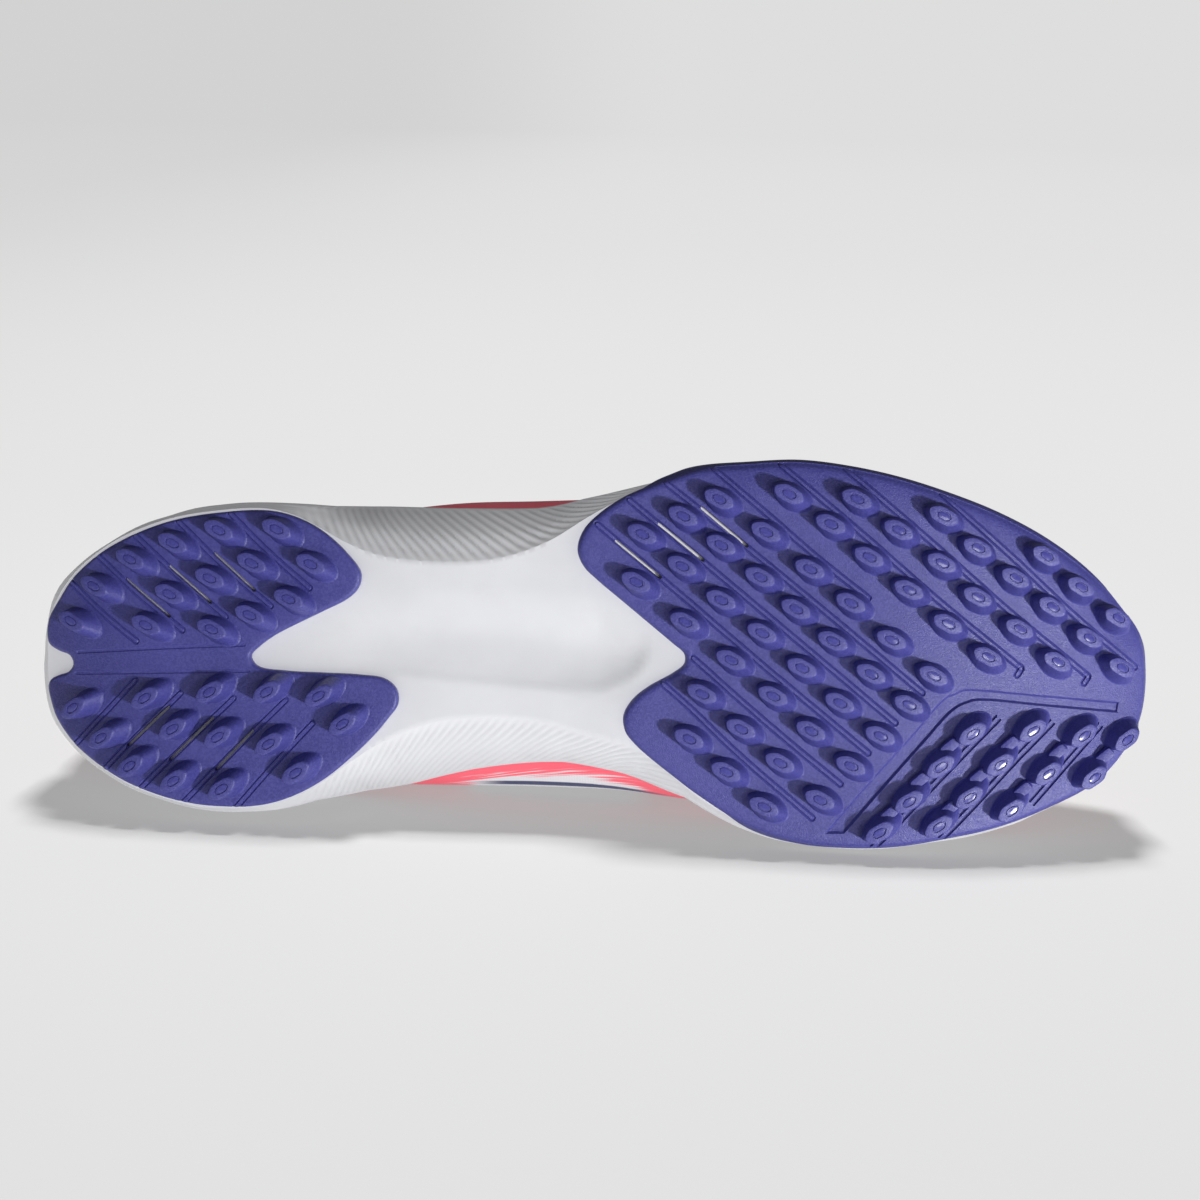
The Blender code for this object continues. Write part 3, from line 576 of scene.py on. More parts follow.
def rubber_paint(name, smoother=0.0):
    m = Paint(name, 0.42, 0.5)
    cloud = m.noise(60.0, 3.0)
    fine = m.noise(3000.0, 2.0, 0.6)
    grain = m.noise(900.0, 3.0, 0.6)
    base = m.mix(m.ramp(cloud, 0.3, 0.7), rgb(0.046, 0.046, 0.235), rgb(0.055, 0.055, 0.265))
    speck = m.ramp(m.noise(1700.0, 2.0, 0.65), 0.40, 0.62, 0.0, 0.8)
    base = m.mix(speck, base, rgb(0.078, 0.078, 0.32))
    m.colour(base)
    if smoother:
        m.rough(m.ramp(grain, 0.3, 0.75, smoother, smoother + 0.12))
        m.bump([(grain, 0.15, 0.05)])
    else:
        m.rough(m.ramp(grain, 0.3, 0.75, 0.34, 0.52))
        m.bump([(grain, 0.5, 0.07), (fine, 1.0, 0.14)])
    return m.mat


def slot_paint():
    m = Paint("slot_floor", 0.6, 0.3)
    m.colour(m.mix(m.noise(700.0), rgb(0.60, 0.60, 0.61), rgb(0.86, 0.86, 0.87)))
    m.bump([(m.noise(900.0), 0.3, 0.05)])
    return m.mat


def foam_paint():
    m = Paint("moulded_foam", 0.52, 0.4)
    x, y, z = m.axes()
    cloud = m.noise(45.0, 4.0)
    skin = m.noise(1500.0, 3.0, 0.65)
    smear = m.noise(22.0, 5.0, 0.7, stretch=(1.0, 2.4, 2.4))
    base = m.mix(m.ramp(cloud, 0.3, 0.7), rgb(0.75, 0.755, 0.785), rgb(0.80, 0.805, 0.83))
    # painted shade: the swept grooves of the waist wall are darkened in colour
    base = m.mix(m.math('MULTIPLY', m.value("groove"), 0.40), base, rgb(0.40, 0.40, 0.42))
    base = m.mix(m.math('MULTIPLY', m.ramp(smear, 0.58, 0.74), 0.10), base,
                 rgb(0.62, 0.60, 0.57))
    m.colour(base)
    m.rough(m.ramp(skin, 0.3, 0.7, 0.46, 0.6))
    m.bump([(skin, 0.35, 0.05), (cloud, 0.15, 0.3)])
    return m.mat


def upper_paint():
    """Coated cloth: coral, with a silver streaked field low on the inner side."""
    m = Paint("coated_cloth", 0.42, 0.5)
    x, y, z = m.axes()
    weave_u = m.node("ShaderNodeTexWave", Vector=m.object, Scale=430.0, Distortion=0.6)
    weave_u.bands_direction = 'X'
    weave_v = m.node("ShaderNodeTexWave", Vector=m.object, Scale=430.0, Distortion=0.6)
    weave_v.bands_direction = 'Z'
    weave = m.math('MULTIPLY', weave_u.outputs["Fac"], weave_v.outputs["Fac"])
    cloud = m.noise(35.0, 4.0)
    grain = m.noise(1300.0, 3.0, 0.6)
    coral = m.mix(m.ramp(cloud, 0.3, 0.7), rgb(0.86, 0.105, 0.155), rgb(0.94, 0.145, 0.195))
    # a slow change towards crimson at the heel
    deep = m.ramp(x, 0.10, 0.02)
    coral = m.mix(m.math('MULTIPLY', deep, 0.75), coral, rgb(0.42, 0.022, 0.06))
    overlay = m.ramp(m.value("overlay"), -0.12, 0.12)
    coral = m.mix(m.math('MULTIPLY', overlay, 0.55), coral, rgb(0.50, 0.03, 0.075))
    # solid colour next to the sole, then fine swept streaks, silver and one dark line
    low = m.value("low")
    lines = m.node("ShaderNodeTexNoise", Vector=m.node(
        "ShaderNodeCombineXYZ", X=m.math('ADD', low, m.math('MULTIPLY', x, 0.07)),
        Y=m.math('MULTIPLY', x, 0.014), Z=0.0).outputs[0],
        Scale=1900.0, Detail=3.0, Roughness=0.6).outputs["Fac"]
    medial = m.ramp(y, 0.0, 0.02)
    field = m.math('MULTIPLY', m.ramp(x, 0.088, 0.112), m.ramp(x, 0.164, 0.132))
    field = m.math('MULTIPLY', field, medial)
    start = m.math('MULTIPLY', m.ramp(low, 0.0036, 0.0098), m.ramp(low, 0.034, 0.024))
    dens = m.math('MULTIPLY', field, start)
    silver = m.ramp(m.math('ADD', lines, m.math('MULTIPLY', dens, 0.55)), 0.70, 0.82)
    silver = m.math('MULTIPLY', silver, m.ramp(dens, 0.0, 0.12))
    base = m.mix(silver, coral, rgb(0.70, 0.70, 0.73))
    outer = m.math('MULTIPLY', m.ramp(lines, 0.56, 0.62),
                   m.math('MULTIPLY', m.ramp(low, 0.022, 0.006), m.ramp(x, 0.12, 0.15)))
    outer = m.math('MULTIPLY', outer, m.math('MULTIPLY', m.ramp(x, 0.235, 0.19), 0.4))
    base = m.mix(outer, base, rgb(0.92, 0.42, 0.46))
    sway = m.math('MULTIPLY', m.math('SUBTRACT', x, 0.126), 0.035)
    rule = m.ramp(m.math('ABSOLUTE', m.math('SUBTRACT', m.math('SUBTRACT', low, sway), 0.0096)),
                  0.0011, 0.0007)
    rule = m.math('MULTIPLY', rule, m.math('MULTIPLY', m.ramp(x, 0.100, 0.112),
                                           m.ramp(x, 0.160, 0.146)))
    rule = m.math('MULTIPLY', rule, medial)
    base = m.mix(rule, base, rgb(0.045, 0.055, 0.13))
    # dark lining
    lining = m.ramp(m.value("lining"), 0.45, 0.55)
    cloth = m.noise(1800.0, 2.0)
    navy = m.mix(m.ramp(cloth, 0.3, 0.7), rgb(0.016, 0.016, 0.045), rgb(0.030, 0.030, 0.075))
    base = m.mix(lining, base, navy)
    m.colour(base)
    m.rough(m.math('ADD', m.ramp(grain, 0.3, 0.7, 0.34, 0.5), m.math('MULTIPLY', lining, 0.35)))
    m.shader.inputs["Coat Weight"].default_value = 0.15
    m.shader.inputs["Coat Roughness"].default_value = 0.35
    m.bump([(weave, 0.30, 0.09), (grain, 0.3, 0.05), (cloth, 0.3, 0.05)])
    return m.mat


def cloth_paint(name, dark, light, scale, rough=0.85, bump=0.5):
    m = Paint(name, rough, 0.3)
    a = m.node("ShaderNodeTexVoronoi", Vector=m.object, Scale=scale, Randomness=0.15)
    cell = a.outputs["Distance"]
    thread = m.noise(2400.0, 3.0, 0.6)
    cloud = m.noise(50.0, 3.0)
    # painted shade: darker towards the low seams between the raised cells
    base = m.mix(m.ramp(cell, 0.1, 0.6), rgb(*light), rgb(*dark))
    base = m.mix(m.math('MULTIPLY', m.ramp(cloud, 0.35, 0.7), 0.35), base, rgb(*dark))
    m.colour(base)
    m.bump([(m.math('SUBTRACT', 1.0, cell), bump, 0.25), (thread, 0.4, 0.05)])
    m.shader.inputs["Sheen Weight"].default_value = 0.25
    m.shader.inputs["Sheen Roughness"].default_value = 0.45
    return m.mat


def thread_paint(name, tone):
    m = Paint(name, 0.7, 0.35)
    twist = m.noise(3200.0, 2.0, 0.6)
    m.colour(m.mix(m.ramp(twist, 0.3, 0.7), rgb(*[c * 0.8 for c in tone]), rgb(*tone)))
    m.bump([(twist, 0.5, 0.06)])
    return m.mat


def lace_paint():
    m = Paint("woven_lace", 0.8, 0.3)
    along = m.value("along")
    across = m.value("across")
    a = m.math('SINE', m.math('ADD', m.math('MULTIPLY', along, 5.2), m.math('MULTIPLY', across, 3.4)))
    b = m.math('SINE', m.math('SUBTRACT', m.math('MULTIPLY', along, 5.2), m.math('MULTIPLY', across, 3.4)))
    plait = m.math('MAXIMUM', a, b)
    fibre = m.noise(2600.0, 3.0, 0.6)
    # painted shade: the lace is darker where the woven ridges dip, from the same plait that makes the bump
    shade = m.ramp(plait, -0.6, 0.9)
    m.colour(m.mix(shade, rgb(0.50, 0.50, 0.52), rgb(0.80, 0.80, 0.81)))
    m.bump([(plait, 0.5, 0.12), (fibre, 0.4, 0.05)])
    return m.mat


RUBBER = rubber_paint("satin_rubber")
GLINT = rubber_paint("polished_rubber", 0.12)
SLOT = slot_paint()
FOAM = foam_paint()
SKIN = upper_paint()
MESH = cloth_paint("tongue_mesh", (0.20, 0.012, 0.03), (0.62, 0.06, 0.11), 620.0)
SOCK = cloth_paint("insole_cloth", (0.010, 0.010, 0.028), (0.040, 0.040, 0.095), 900.0, 0.9, 0.3)
CORD = lace_paint()
THREAD = thread_paint("seam_thread", (0.75, 0.18, 0.22))


# --------------------------------------------------------------- outsoles
HEEL_PAD = (
    (48, 619), (58.5, 599), (72, 578), (98, 554), (123, 539), (148, 528), (173, 520),
    (198, 515), (223, 512), (248, 510), (273, 511), (298, 518), (323, 532),
    (346, 553), (360, 573), (358, 587), (348, 598), (323, 611), (298, 623),
    (273, 636), (258, 647), (250, 656), (256, 666), (285, 671), (323, 673),
    (360, 675), (384, 679), (396, 690), (397, 705), (388, 718), (373, 736),
    (348, 760), (323, 780), (298, 794), (273, 803), (248, 807), (223, 807),
    (198, 805), (173, 800), (148, 792), (123, 781), (98, 765), (73, 743),
    (56, 718), (50, 700), (47.5, 686), (50, 679.5), (58.5, 675), (68, 671.5), (72.5, 664),
    (69, 655.5), (58.5, 651), (49, 644.5), (46.5, 637),
)
TOE_PAD_BACK = (
    (648, 486), (623, 497), (598, 514), (583, 530), (577, 549), (583, 566),
    (598, 581), (623, 602), (648, 623), (673, 644), (684, 654), (684, 664),
    (673, 673), (648, 687), (632, 700), (623, 716), (625, 732), (634, 744),
    (648, 757), (673, 777), (698, 796),
)
toe_rows = [r for r in EDGE if 698 < r[0] <= 1127]
TOE_PAD = (
    [(r[0], r[1] + 1) for r in toe_rows[::-1]]
    + [(698, 469), (673, 477)] + list(TOE_PAD_BACK)
    + [(r[0], r[2] - 1) for r in toe_rows] + [(1142, 716), (1147, 664), (1141, 634)])

LUGS_MAIN = (
    (642, 534), (683, 516), (719, 499),
    (636, 582), (682, 566), (721, 545), (766, 532), (789, 494),
    (685, 622), (721, 600), (760, 577), (810, 569), (831, 524), (857, 499),
    (702, 694), (731, 660), (762, 633), (796, 609), (851, 603), (869, 557), (898, 530),
    (689, 739), (741, 729), (773, 696), (802, 668), (833, 641), (891, 640),
    (908, 590), (940, 563), (942, 516),
    (726, 772), (780, 763), (811, 731), (840, 703), (871, 674), (932, 676),
    (946, 624), (975, 597), (975, 548),
    (764, 807), (820, 800), (851, 766), (880, 736), (908, 705),
    (985, 657), (1016, 629), (1012, 578), (1042, 556),
    (1053, 662), (1048, 607), (1084, 638), (1076, 587), (1116, 668), (1112, 618),
)
LUGS_GREAT_TOE = (
    (970, 733), (939, 766), (908, 801), (879, 832),
    (1029, 730), (997, 764), (967, 797), (937, 826),
    (1079, 735), (1044, 773), (1008, 810), (1121, 739), (1089, 777),
)
LUGS_HEEL_LATERAL = (
    (276, 529), (218, 530), (172, 543), (131, 559), (97, 586), (75, 621),
    (310, 564), (251, 563), (209, 578), (169, 594), (146, 625),
    (288, 599), (249, 615), (211, 629),
)
LUGS_HEEL_MEDIAL = (
    (77, 708), (145, 698), (209, 692), (266, 692), (318, 696),
    (104, 738), (172, 729), (217, 737), (268, 744), (342, 724),
    (131, 766), (173, 781), (221, 789), (295, 773),
)
LUG_TURN = 32.0

# raised flex lines of the rubber, each a light rib with a groove on each side
FLEX_TOE = (
    ((663, 684), (690, 708), (740, 756), (812, 818)),
    ((693, 658), (740, 700), (790, 743), (840, 784)),
    ((597, 524), (668, 584), (760, 663), (868, 753)),
    ((629, 500), (700, 559), (800, 643), (895, 723)),
    ((666, 483), (745, 546), (835, 620), (922, 693)),
    ((713, 468), (768, 515), (820, 560), (868, 598)),
    ((781, 465), (860, 532), (940, 602), (1021, 668)), ((1021, 669), (1017, 675)),
    ((845, 468), (930, 541), (1010, 612), (1088, 676)), ((1088, 677), (1084, 683)),
    ((942, 494), (1010, 555), (1075, 616), (1135, 667)),
)
SLOTS_TOE = (
    ((616, 541), (660, 577)), ((659, 524), (703, 560)), ((702, 508), (747, 546)),
)
PAIRS_TOE = (
    ((873, 848), (915, 804), (955, 762), (998, 718)),
    ((941, 839), (980, 798), (1015, 760), (1052, 722)),
    ((1032, 803), (1065, 765), (1100, 725)),
)
BAND = (
    ((824, 834), (868, 783), (910, 737), (940, 702), (955, 693), (971, 689), (1020, 693), (1121, 702)),
    ((844, 834), (886, 786), (925, 742), (950, 714), (966, 704), (987, 701), (1050, 707), (1119, 713)),
)
FLEX_HEEL = (
    ((71, 582), (100, 611), (136, 641)), ((98, 556), (138, 594), (182, 630)),
    ((135, 536), (178, 576), (225, 617)), ((178, 522), (222, 565), (270, 606)),
    ((230, 514), (268, 552), (309, 588)),
    ((75, 744), (105, 712), (135, 680)), ((104, 769), (142, 730), (180, 693)),
    ((140, 788), (186, 743), (233, 698)), ((183, 802), (234, 750), (285, 700)),
    ((234, 809), (272, 766), (312, 723)),
)
SLOTS_HEEL = (
    ((126, 579), (169, 616)), ((169, 566), (210, 602)), ((214, 553), (254, 590)),
    ((128, 745), (168, 707)), ((170, 759), (212, 718)), ((216, 769), (252, 731)),
)
RULES_HEEL = (
    ((78, 652), (160, 648), (244, 645)), ((76, 673), (160, 672), (248, 671)),
)
LINKS_TOE = (
    (950, 747), (920, 781), (890, 814), (979, 777), (950, 809),
    (1010, 745), (1058, 753), (1023, 791), (1105, 757),
)


def drawn(points, step=0.9):
    """A plan polyline as a smooth line on the tread, in mm."""
    put = [on_tread(u, v) for u, v in points]
    if len(put) > 2:
        ext = [put[0] * 2 - put[1]] + put + [put[-1] * 2 - put[-2]]
        out = []
        for i in range(1, len(ext) - 2):
            p0, p1, p2, p3 = ext[i - 1:i + 3]
            for k in range(8):
                t = k / 8
                out.append(0.5 * ((2 * p1) + (p2 - p0) * t
                                  + (2 * p0 - 5 * p1 + 4 * p2 - p3) * t * t
                                  + (3 * p1 - p0 - 3 * p2 + p3) * t**3))
        out.append(put[-1])
        put = out
    return resample(put, step)


def capsule(line, d):
    """Closed loop at distance d round an open line."""
    n = normals_2d(line)
    k = max(2, int(math.pi * d / 0.4))
    t = line[-1] - line[-2]
    t = t / np.linalg.norm(t)
    u = line[0] - line[1]
    u = u / np.linalg.norm(u)
    left, right = line + n * d, (line - n * d)[::-1]
    cap_a, cap_b = [], []
    for i in range(1, k + 1):
        a = math.pi * i / (k + 1)
        cap_a.append(line[-1] + n[-1] * d * math.cos(a) + t * d * math.sin(a))
        cap_b.append(line[0] - n[0] * d * math.cos(a) + u * d * math.sin(a))
    return np.vstack([left, cap_a, right, cap_b])


RIB_AT = (0.0, 0.30, 0.62, 1.0)
RIB_Z = (-0.30, -0.22, 0.40, 0.0)
PAIR_AT = (0.0, 0.16, 0.36)
PAIR_Z = (0.75, 0.65, 0.0)
RULE_AT = (0.0, 0.20, 0.48)
RULE_Z = (0.30, 0.24, 0.0)


edge_poly = resample([edge.at(-1, i / 200) for i in range(201)]
                     + [edge.at(1, i / 200) for i in range(199, 0, -1)], 1.0, True)


def plate(control, radii, ribs, slots, pairs, rules, band, fill=1.7, wrap=False):
    """The rubber plate: its relief as heights over a constrained mesh."""
    outline = resample(smooth_loop([on_tread(u, v) for u, v in control], per=8), 0.85, True)
    area = 0.5 * np.sum(outline[:, 0] * np.roll(outline[:, 1], -1)
                        - np.roll(outline[:, 0], -1) * outline[:, 1])
    if area < 0:
        outline = outline[::-1].copy()
    n_in = normals_2d(outline, True)
    r_at = np.array([radii(x, y, nx, ny) for (x, y), (nx, ny) in zip(outline, n_in)])
    for _ in range(6):
        r_at = (r_at + np.roll(r_at, 1) + np.roll(r_at, -1)) / 3
    loops = [outline]
    for share in (0.06, 0.2, 0.42, 0.7, 1.0):
        loops.append(outline + n_in * (r_at * share)[:, None])
    rib_l = [drawn(p) for p in ribs]
    slot_l = [drawn(p) for p in slots]
    pair_l = []
    for p in pairs:
        line = drawn(p)
        side = normals_2d(line)
        pair_l += [line + side * 0.72, line - side * 0.72]
    rule_l = [drawn(p) for p in rules]
    for line in rib_l:
        loops += [capsule(line, d) for d in RIB_AT[1:]]
    for line in slot_l:
        loops += [capsule(line, 0.34), capsule(line, 0.46)]
    for line in pair_l:
        loops += [capsule(line, d) for d in PAIR_AT[1:]]
    for line in rule_l:
        loops += [capsule(line, d) for d in RULE_AT[1:]]
    band_poly = None
    if band:
        a, b = drawn(band[0]), drawn(band[1])
        band_poly = np.vstack([a, b[::-1]])
        loops.append(band_poly)
        area = 0.5 * np.sum(band_poly[:, 0] * np.roll(band_poly[:, 1], -1)
                            - np.roll(band_poly[:, 0], -1) * band_poly[:, 1])
        inner = band_poly + normals_2d(band_poly, True) * (0.6 if area > 0 else -0.6)
        loops.append(inner)
    verts, edges = [], []
    for k, loop in enumerate(loops):
        base = len(verts)
        keep = np.ones(len(loop), bool)
        if k:
            keep = inside(outline, loop)
        index = {}
        for i, p in enumerate(loop):
            if keep[i]:
                index[i] = len(verts)
                verts.append((p[0], p[1]))
        for i in range(len(loop)):
            j = (i + 1) % len(loop)
            if i in index and j in index:
                edges.append((index[i], index[j]))
        if k == 0:
            ring = list(range(base, base + len(loop)))
    lo, hi = outline.min(0), outline.max(0)
    xs = np.arange(lo[0], hi[0], fill)
    ys = np.arange(lo[1], hi[1], fill * 0.866)
    gx, gy = np.meshgrid(xs, ys)
    gx = gx + (np.arange(len(ys)) % 2)[:, None] * fill / 2
    grid = np.stack([gx.ravel(), gy.ravel()], 1)
    grid = grid[inside(outline, grid)]
    d, near = distance_to(outline, grid, True)
    grid = grid[d > r_at[near] + 0.5]
    for line, wide in ([(l, RIB_AT[-1]) for l in rib_l] + [(l, PAIR_AT[-1]) for l in pair_l]
                       + [(l, RULE_AT[-1]) for l in rule_l]):
        grid = grid[distance_to(line, grid)[0] > wide + 0.5]
    if band_poly is not None:
        grid = grid[distance_to(band_poly, grid, True)[0] > 0.8]
    verts += [tuple(p) for p in grid]
    made = delaunay_2d_cdt([Vector(v) for v in verts], edges, [ring], 1, 1e-4, False)
    flat = np.array([(v[0], v[1]) for v in made[0]])
    faces = np.array([tuple(f) for f in made[2]])
    faces = [tuple(f) for f in faces[inside(outline, flat[faces].mean(1))].tolist()]
    # the relief, positive is away from the ground
    d, near = distance_to(outline, flat, True)
    r = r_at[near]
    q = np.clip(r - d, 0, r)
    relief = r - np.sqrt(np.maximum(r * r - q * q, 0.0))
    if wrap:
        soft = n_in[:, 1].copy()
        for _ in range(20):
            soft = (soft + np.roll(soft, 1) + np.roll(soft, -1)) / 3
        amount = 0.45 + 0.75 * smooth(soft[near], 0.1, 0.6)
        reach_in = 5.0 + 4.5 * smooth(soft[near], 0.1, 0.6)
        ahead = smooth(flat[:, 0], 155.0, 175.0)
        relief = relief + ahead * amount * np.clip(1 - d / reach_in, 0, 1) ** 2
    for lines, at, z in ((rib_l, RIB_AT, RIB_Z), (pair_l, PAIR_AT, PAIR_Z),
                         (rule_l, RULE_AT, RULE_Z)):
        for line in lines:
            dl = distance_to(line, flat)[0]
            part = np.interp(dl, at, z)
            relief = np.where(dl < at[-1], relief + part, relief)
    if band_poly is not None:
        db = distance_to(band_poly, flat, True)[0]
        within = inside(band_poly, flat)
        relief = relief + np.where(within, 0.85 * np.clip(db / 0.6, 0, 1), 0.0)
    deep = np.zeros(len(flat))
    for line in slot_l:
        dl = distance_to(line, flat)[0]
        deep = np.maximum(deep, np.interp(dl, (0.35, 0.45, 0.47), (1.9, 0.12, 0.0)))
    relief = np.maximum(relief, deep)
    relief = np.minimum(relief, PLATE - 0.15)
    z = treads(flat[:, 0])
    bottom = np.column_stack([flat, z + relief])
    top = np.column_stack([flat, z + PLATE])
    count = len(flat)
    used, out, index = {}, [], []
    for f in faces:
        f = f[::-1]
        out.append(f)
        for a, b in zip(f, f[1:] + f[:1]):
            used[(a, b)] = True
        mid = deep[list(f)].min()
        index.append(1 if mid > 1.5 else 0)
    for f in faces:
        out.append(tuple(i + count for i in f))
        index.append(0)
    brim = [(a, b) for a, b in list(used) if (b, a) not in used]
    order = sorted({a for pair in brim for a in pair})
    at = {a: i for i, a in enumerate(order)}
    o = near[order]
    off, _ = distance_to(edge_poly, flat[order], True)
    w = (1 - smooth(off, 0.7, 2.0)) if wrap else np.zeros(len(order))
    reach = np.where(inside(edge_poly, flat[order]), off, -off) + 0.30
    reach = (reach - 0.75 * smooth(flat[order, 0], 255.0, 275.0)) * w
    out_n = -n_in[o]
    r_o = r_at[o]
    rows = []
    for share, thin, thick in ((0.55, 0.33, 3.0), (0.92, 0.6, 4.6), (1.0, 0.75, 5.7),
                               (0.55, 0.9, 6.1)):
        zz = (1 - w) * (r_o + (PLATE - r_o) * thin) + w * thick
        rows.append(np.column_stack([flat[order] + out_n * (reach * share)[:, None],
                                     z[order] + zz]))
    base = 2 * count
    m = len(order)
    for a, b in brim:
        ia, ib = at[a], at[b]
        chain_a = [a] + [base + k * m + ia for k in range(4)] + [a + count]
        chain_b = [b] + [base + k * m + ib for k in range(4)] + [b + count]
        for k in range(5):
            out.append((chain_b[k], chain_a[k], chain_a[k + 1], chain_b[k + 1]))
            index.append(0)
    return np.vstack([bottom, top] + rows), out, index


def stud_rings():
    """Rings of one stud: half length, half width, height, along, hex share, twist."""
    return (
        (6.05, 3.70, 1.90, 1.25, 0.10, 0.0), (5.95, 3.60, 0.02, 1.22, 0.10, 0.0),
        (5.76, 3.44, -0.10, 1.16, 0.14, 0.0), (5.58, 3.30, -0.30, 1.08, 0.18, 0.0),
        (5.42, 3.18, -0.70, 1.00, 0.22, 0.0), (4.98, 2.86, -2.00, 0.70, 0.40, 0.0),
        (4.48, 2.50, -3.40, 0.35, 0.65, -1.0), (4.20, 2.28, -4.30, 0.10, 0.88, -2.0),
        (4.08, 2.19, -4.66, 0.03, 1.00, -2.0), (3.90, 2.07, -4.90, 0.0, 1.00, -2.0),
        (3.55, 1.86, -5.00, 0.0, 1.00, -2.0), (2.00, 1.18, -5.00, 0.0, 1.00, -2.0),
        (1.88, 1.07, -4.72, 0.0, 1.00, -2.0), (1.70, 0.93, -4.72, 0.0, 1.00, -2.0),
        (1.54, 0.81, -4.97, 0.0, 1.00, -2.0), (0.8, 0.42, -5.02, 0.0, 1.00, -2.0),
    )


STUD_SEGMENTS = 36
GLINT_FROM = 14


def studs(groups):
    """Verts and faces of every stud of a plate, leaned with the tread."""
    rings = stud_rings()
    n = STUD_SEGMENTS
    # a drop drawn to a point at its back, and a long lozenge with blunt corners
    t = np.arange(n) * 2 * math.pi / n
    c, d = np.cos(t), np.sin(t)
    drop = np.stack([np.where(c < 0, -np.abs(c) ** 1.35, c),
                     d * np.where(c < 0, 1 - 0.16 * c * c, 1 - 0.10 * c * c)], 1)
    flat = (t % (math.pi / 3)) - math.pi / 6
    six = np.stack([c, d], 1) * (math.cos(math.pi / 6) / np.cos(flat))[:, None] * 1.05
    six = (six * 2 + np.roll(six, 1, 0) + np.roll(six, -1, 0)) / 4
    hexagon = np.stack([np.sign(c) * np.abs(c) ** 0.78, np.sign(d) * np.abs(d) ** 0.78], 1)
    hexagon = hexagon * 0.45 + six * 0.55
    hexagon[:, 0] -= 0.10 * hexagon[:, 1]

    def one(way):
        unit = []
        for a, b, z, along, hexed, twist in rings:
            tw = math.radians(twist * way)
            ct, st = math.cos(tw), math.sin(tw)
            ring = (drop * (1 - hexed) + hexagon * hexed) * (a, b)
            for px, py in ring:
                unit.append((px * ct - py * st + along, px * st + py * ct, z))
        unit.append((0.0, 0.0, rings[-1][2]))
        unit.append((0.75, 0.0, 0.6))
        return np.array(unit)

    faces, index = [], []
    for i in range(len(rings) - 1):
        for k in range(n):
            j = (k + 1) % n
            faces.append((i * n + k, i * n + j, (i + 1) * n + j, (i + 1) * n + k))
            index.append(2 if i >= GLINT_FROM else 0)
    tip, root = len(rings) * n, len(rings) * n + 1
    for k in range(n):
        j = (k + 1) % n
        faces.append(((len(rings) - 1) * n + k, (len(rings) - 1) * n + j, tip))
        index.append(2)
        faces.append((j, k, root))
        index.append(0)
    verts, out, idx = [], [], []
    for places, turn, tip_y in groups:
        unit = one(1 if turn > 0 else -1)
        for i, (u, v) in enumerate(places):
            p = plan(u, v, 0.0)
            for _ in range(2):
                p = plan(u, v, tread(p.x) - LUG)
            z = tread(p.x)
            slope = math.atan((tread(p.x + 3) - tread(p.x - 3)) / 6.0)
            small = math.sin(i * 12.9898) * 1.2
            m = np.array(Matrix.Rotation(-slope, 3, 'Y')
                         @ Matrix.Rotation(math.radians(tip_y), 3, 'X')
                         @ Matrix.Rotation(math.radians(turn + small), 3, 'Z'))
            base = len(verts)
            verts.extend(unit @ m.T + np.array([p.x, p.y, z]))
            out += [tuple(base + q for q in f) for f in faces]
            idx += index
    return np.array(verts), out, idx


def blocks(places, half=(2.7, 1.45), tall=2.6, turn=-40.0):
    """Low linking blocks with rounded tops."""
    rings = ((1.12, 0.3), (1.0, -0.1), (0.96, -tall * 0.7), (0.86, -tall * 0.95),
             (0.66, -tall))
    n = 20
    verts, out = [], []
    for u, v in places:
        p = on_tread(u, v, tall)
        z = tread(p.x)
        a = math.radians(turn)
        ca, sa = math.cos(a), math.sin(a)
        base = len(verts)
        for f, h in rings:
            for k in range(n):
                t = 2 * math.pi * k / n
                c, s = math.cos(t), math.sin(t)
                x = math.copysign(abs(c) ** 0.45, c) * half[0] * f
                y = math.copysign(abs(s) ** 0.45, s) * half[1] * f
                verts.append((p.x + x * ca - y * sa, p.y + x * sa + y * ca, z + h))
        verts.append((p.x, p.y, z + rings[-1][1]))
        verts.append((p.x, p.y, z + 0.6))
        for i in range(len(rings) - 1):
            for k in range(n):
                j = (k + 1) % n
                out.append((base + i * n + k, base + i * n + j,
                            base + (i + 1) * n + j, base + (i + 1) * n + k))
        tip, root = len(verts) - 2, len(verts) - 1
        for k in range(n):
            j = (k + 1) % n
            out.append((base + (len(rings) - 1) * n + k, base + (len(rings) - 1) * n + j, tip))
            out.append((base + j, base + k, root))
    return np.array(verts), out


def joined(parts):
    verts, faces, index = [], [], []
    base = 0
    for part in parts:
        v, f = part[0], part[1]
        idx = part[2] if len(part) > 2 else [0] * len(f)
        verts.append(np.asarray(v))
        faces += [tuple(base + q for q in face) for face in f]
        index += list(idx)
        base += len(v)
    return np.vstack(verts), faces, index


def toe_radius(x, y, nx, ny):
    if x < 178 and abs(ny) < 0.95 and nx < 0.2:
        return 0.6
    if ny > 0.0:
        return 1.9
    return 1.3


forefoot = finish_mesh(
    "forefoot_rubber",
    *(lambda v, f, i: (v, f, [RUBBER, SLOT, GLINT], 36.0, i))(*joined([
        plate(TOE_PAD, toe_radius, FLEX_TOE, SLOTS_TOE, PAIRS_TOE, (), BAND, wrap=True),
        studs(((LUGS_MAIN, LUG_TURN, 0.0), (LUGS_GREAT_TOE, -LUG_TURN, 3.0))),
        blocks(LINKS_TOE)])))
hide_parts("outsole_forefoot")
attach(forefoot, "root")

heel = finish_mesh(
    "heel_rubber",
    *(lambda v, f, i: (v, f, [RUBBER, SLOT, GLINT], 36.0, i))(*joined([
        plate(HEEL_PAD, lambda x, y, nx, ny: 1.0, FLEX_HEEL, SLOTS_HEEL, (), RULES_HEEL, None),
        studs(((LUGS_HEEL_LATERAL, LUG_TURN, 0.0), (LUGS_HEEL_MEDIAL, -LUG_TURN, 0.0)))])))
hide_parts("outsole_heel")
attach(heel, "root")

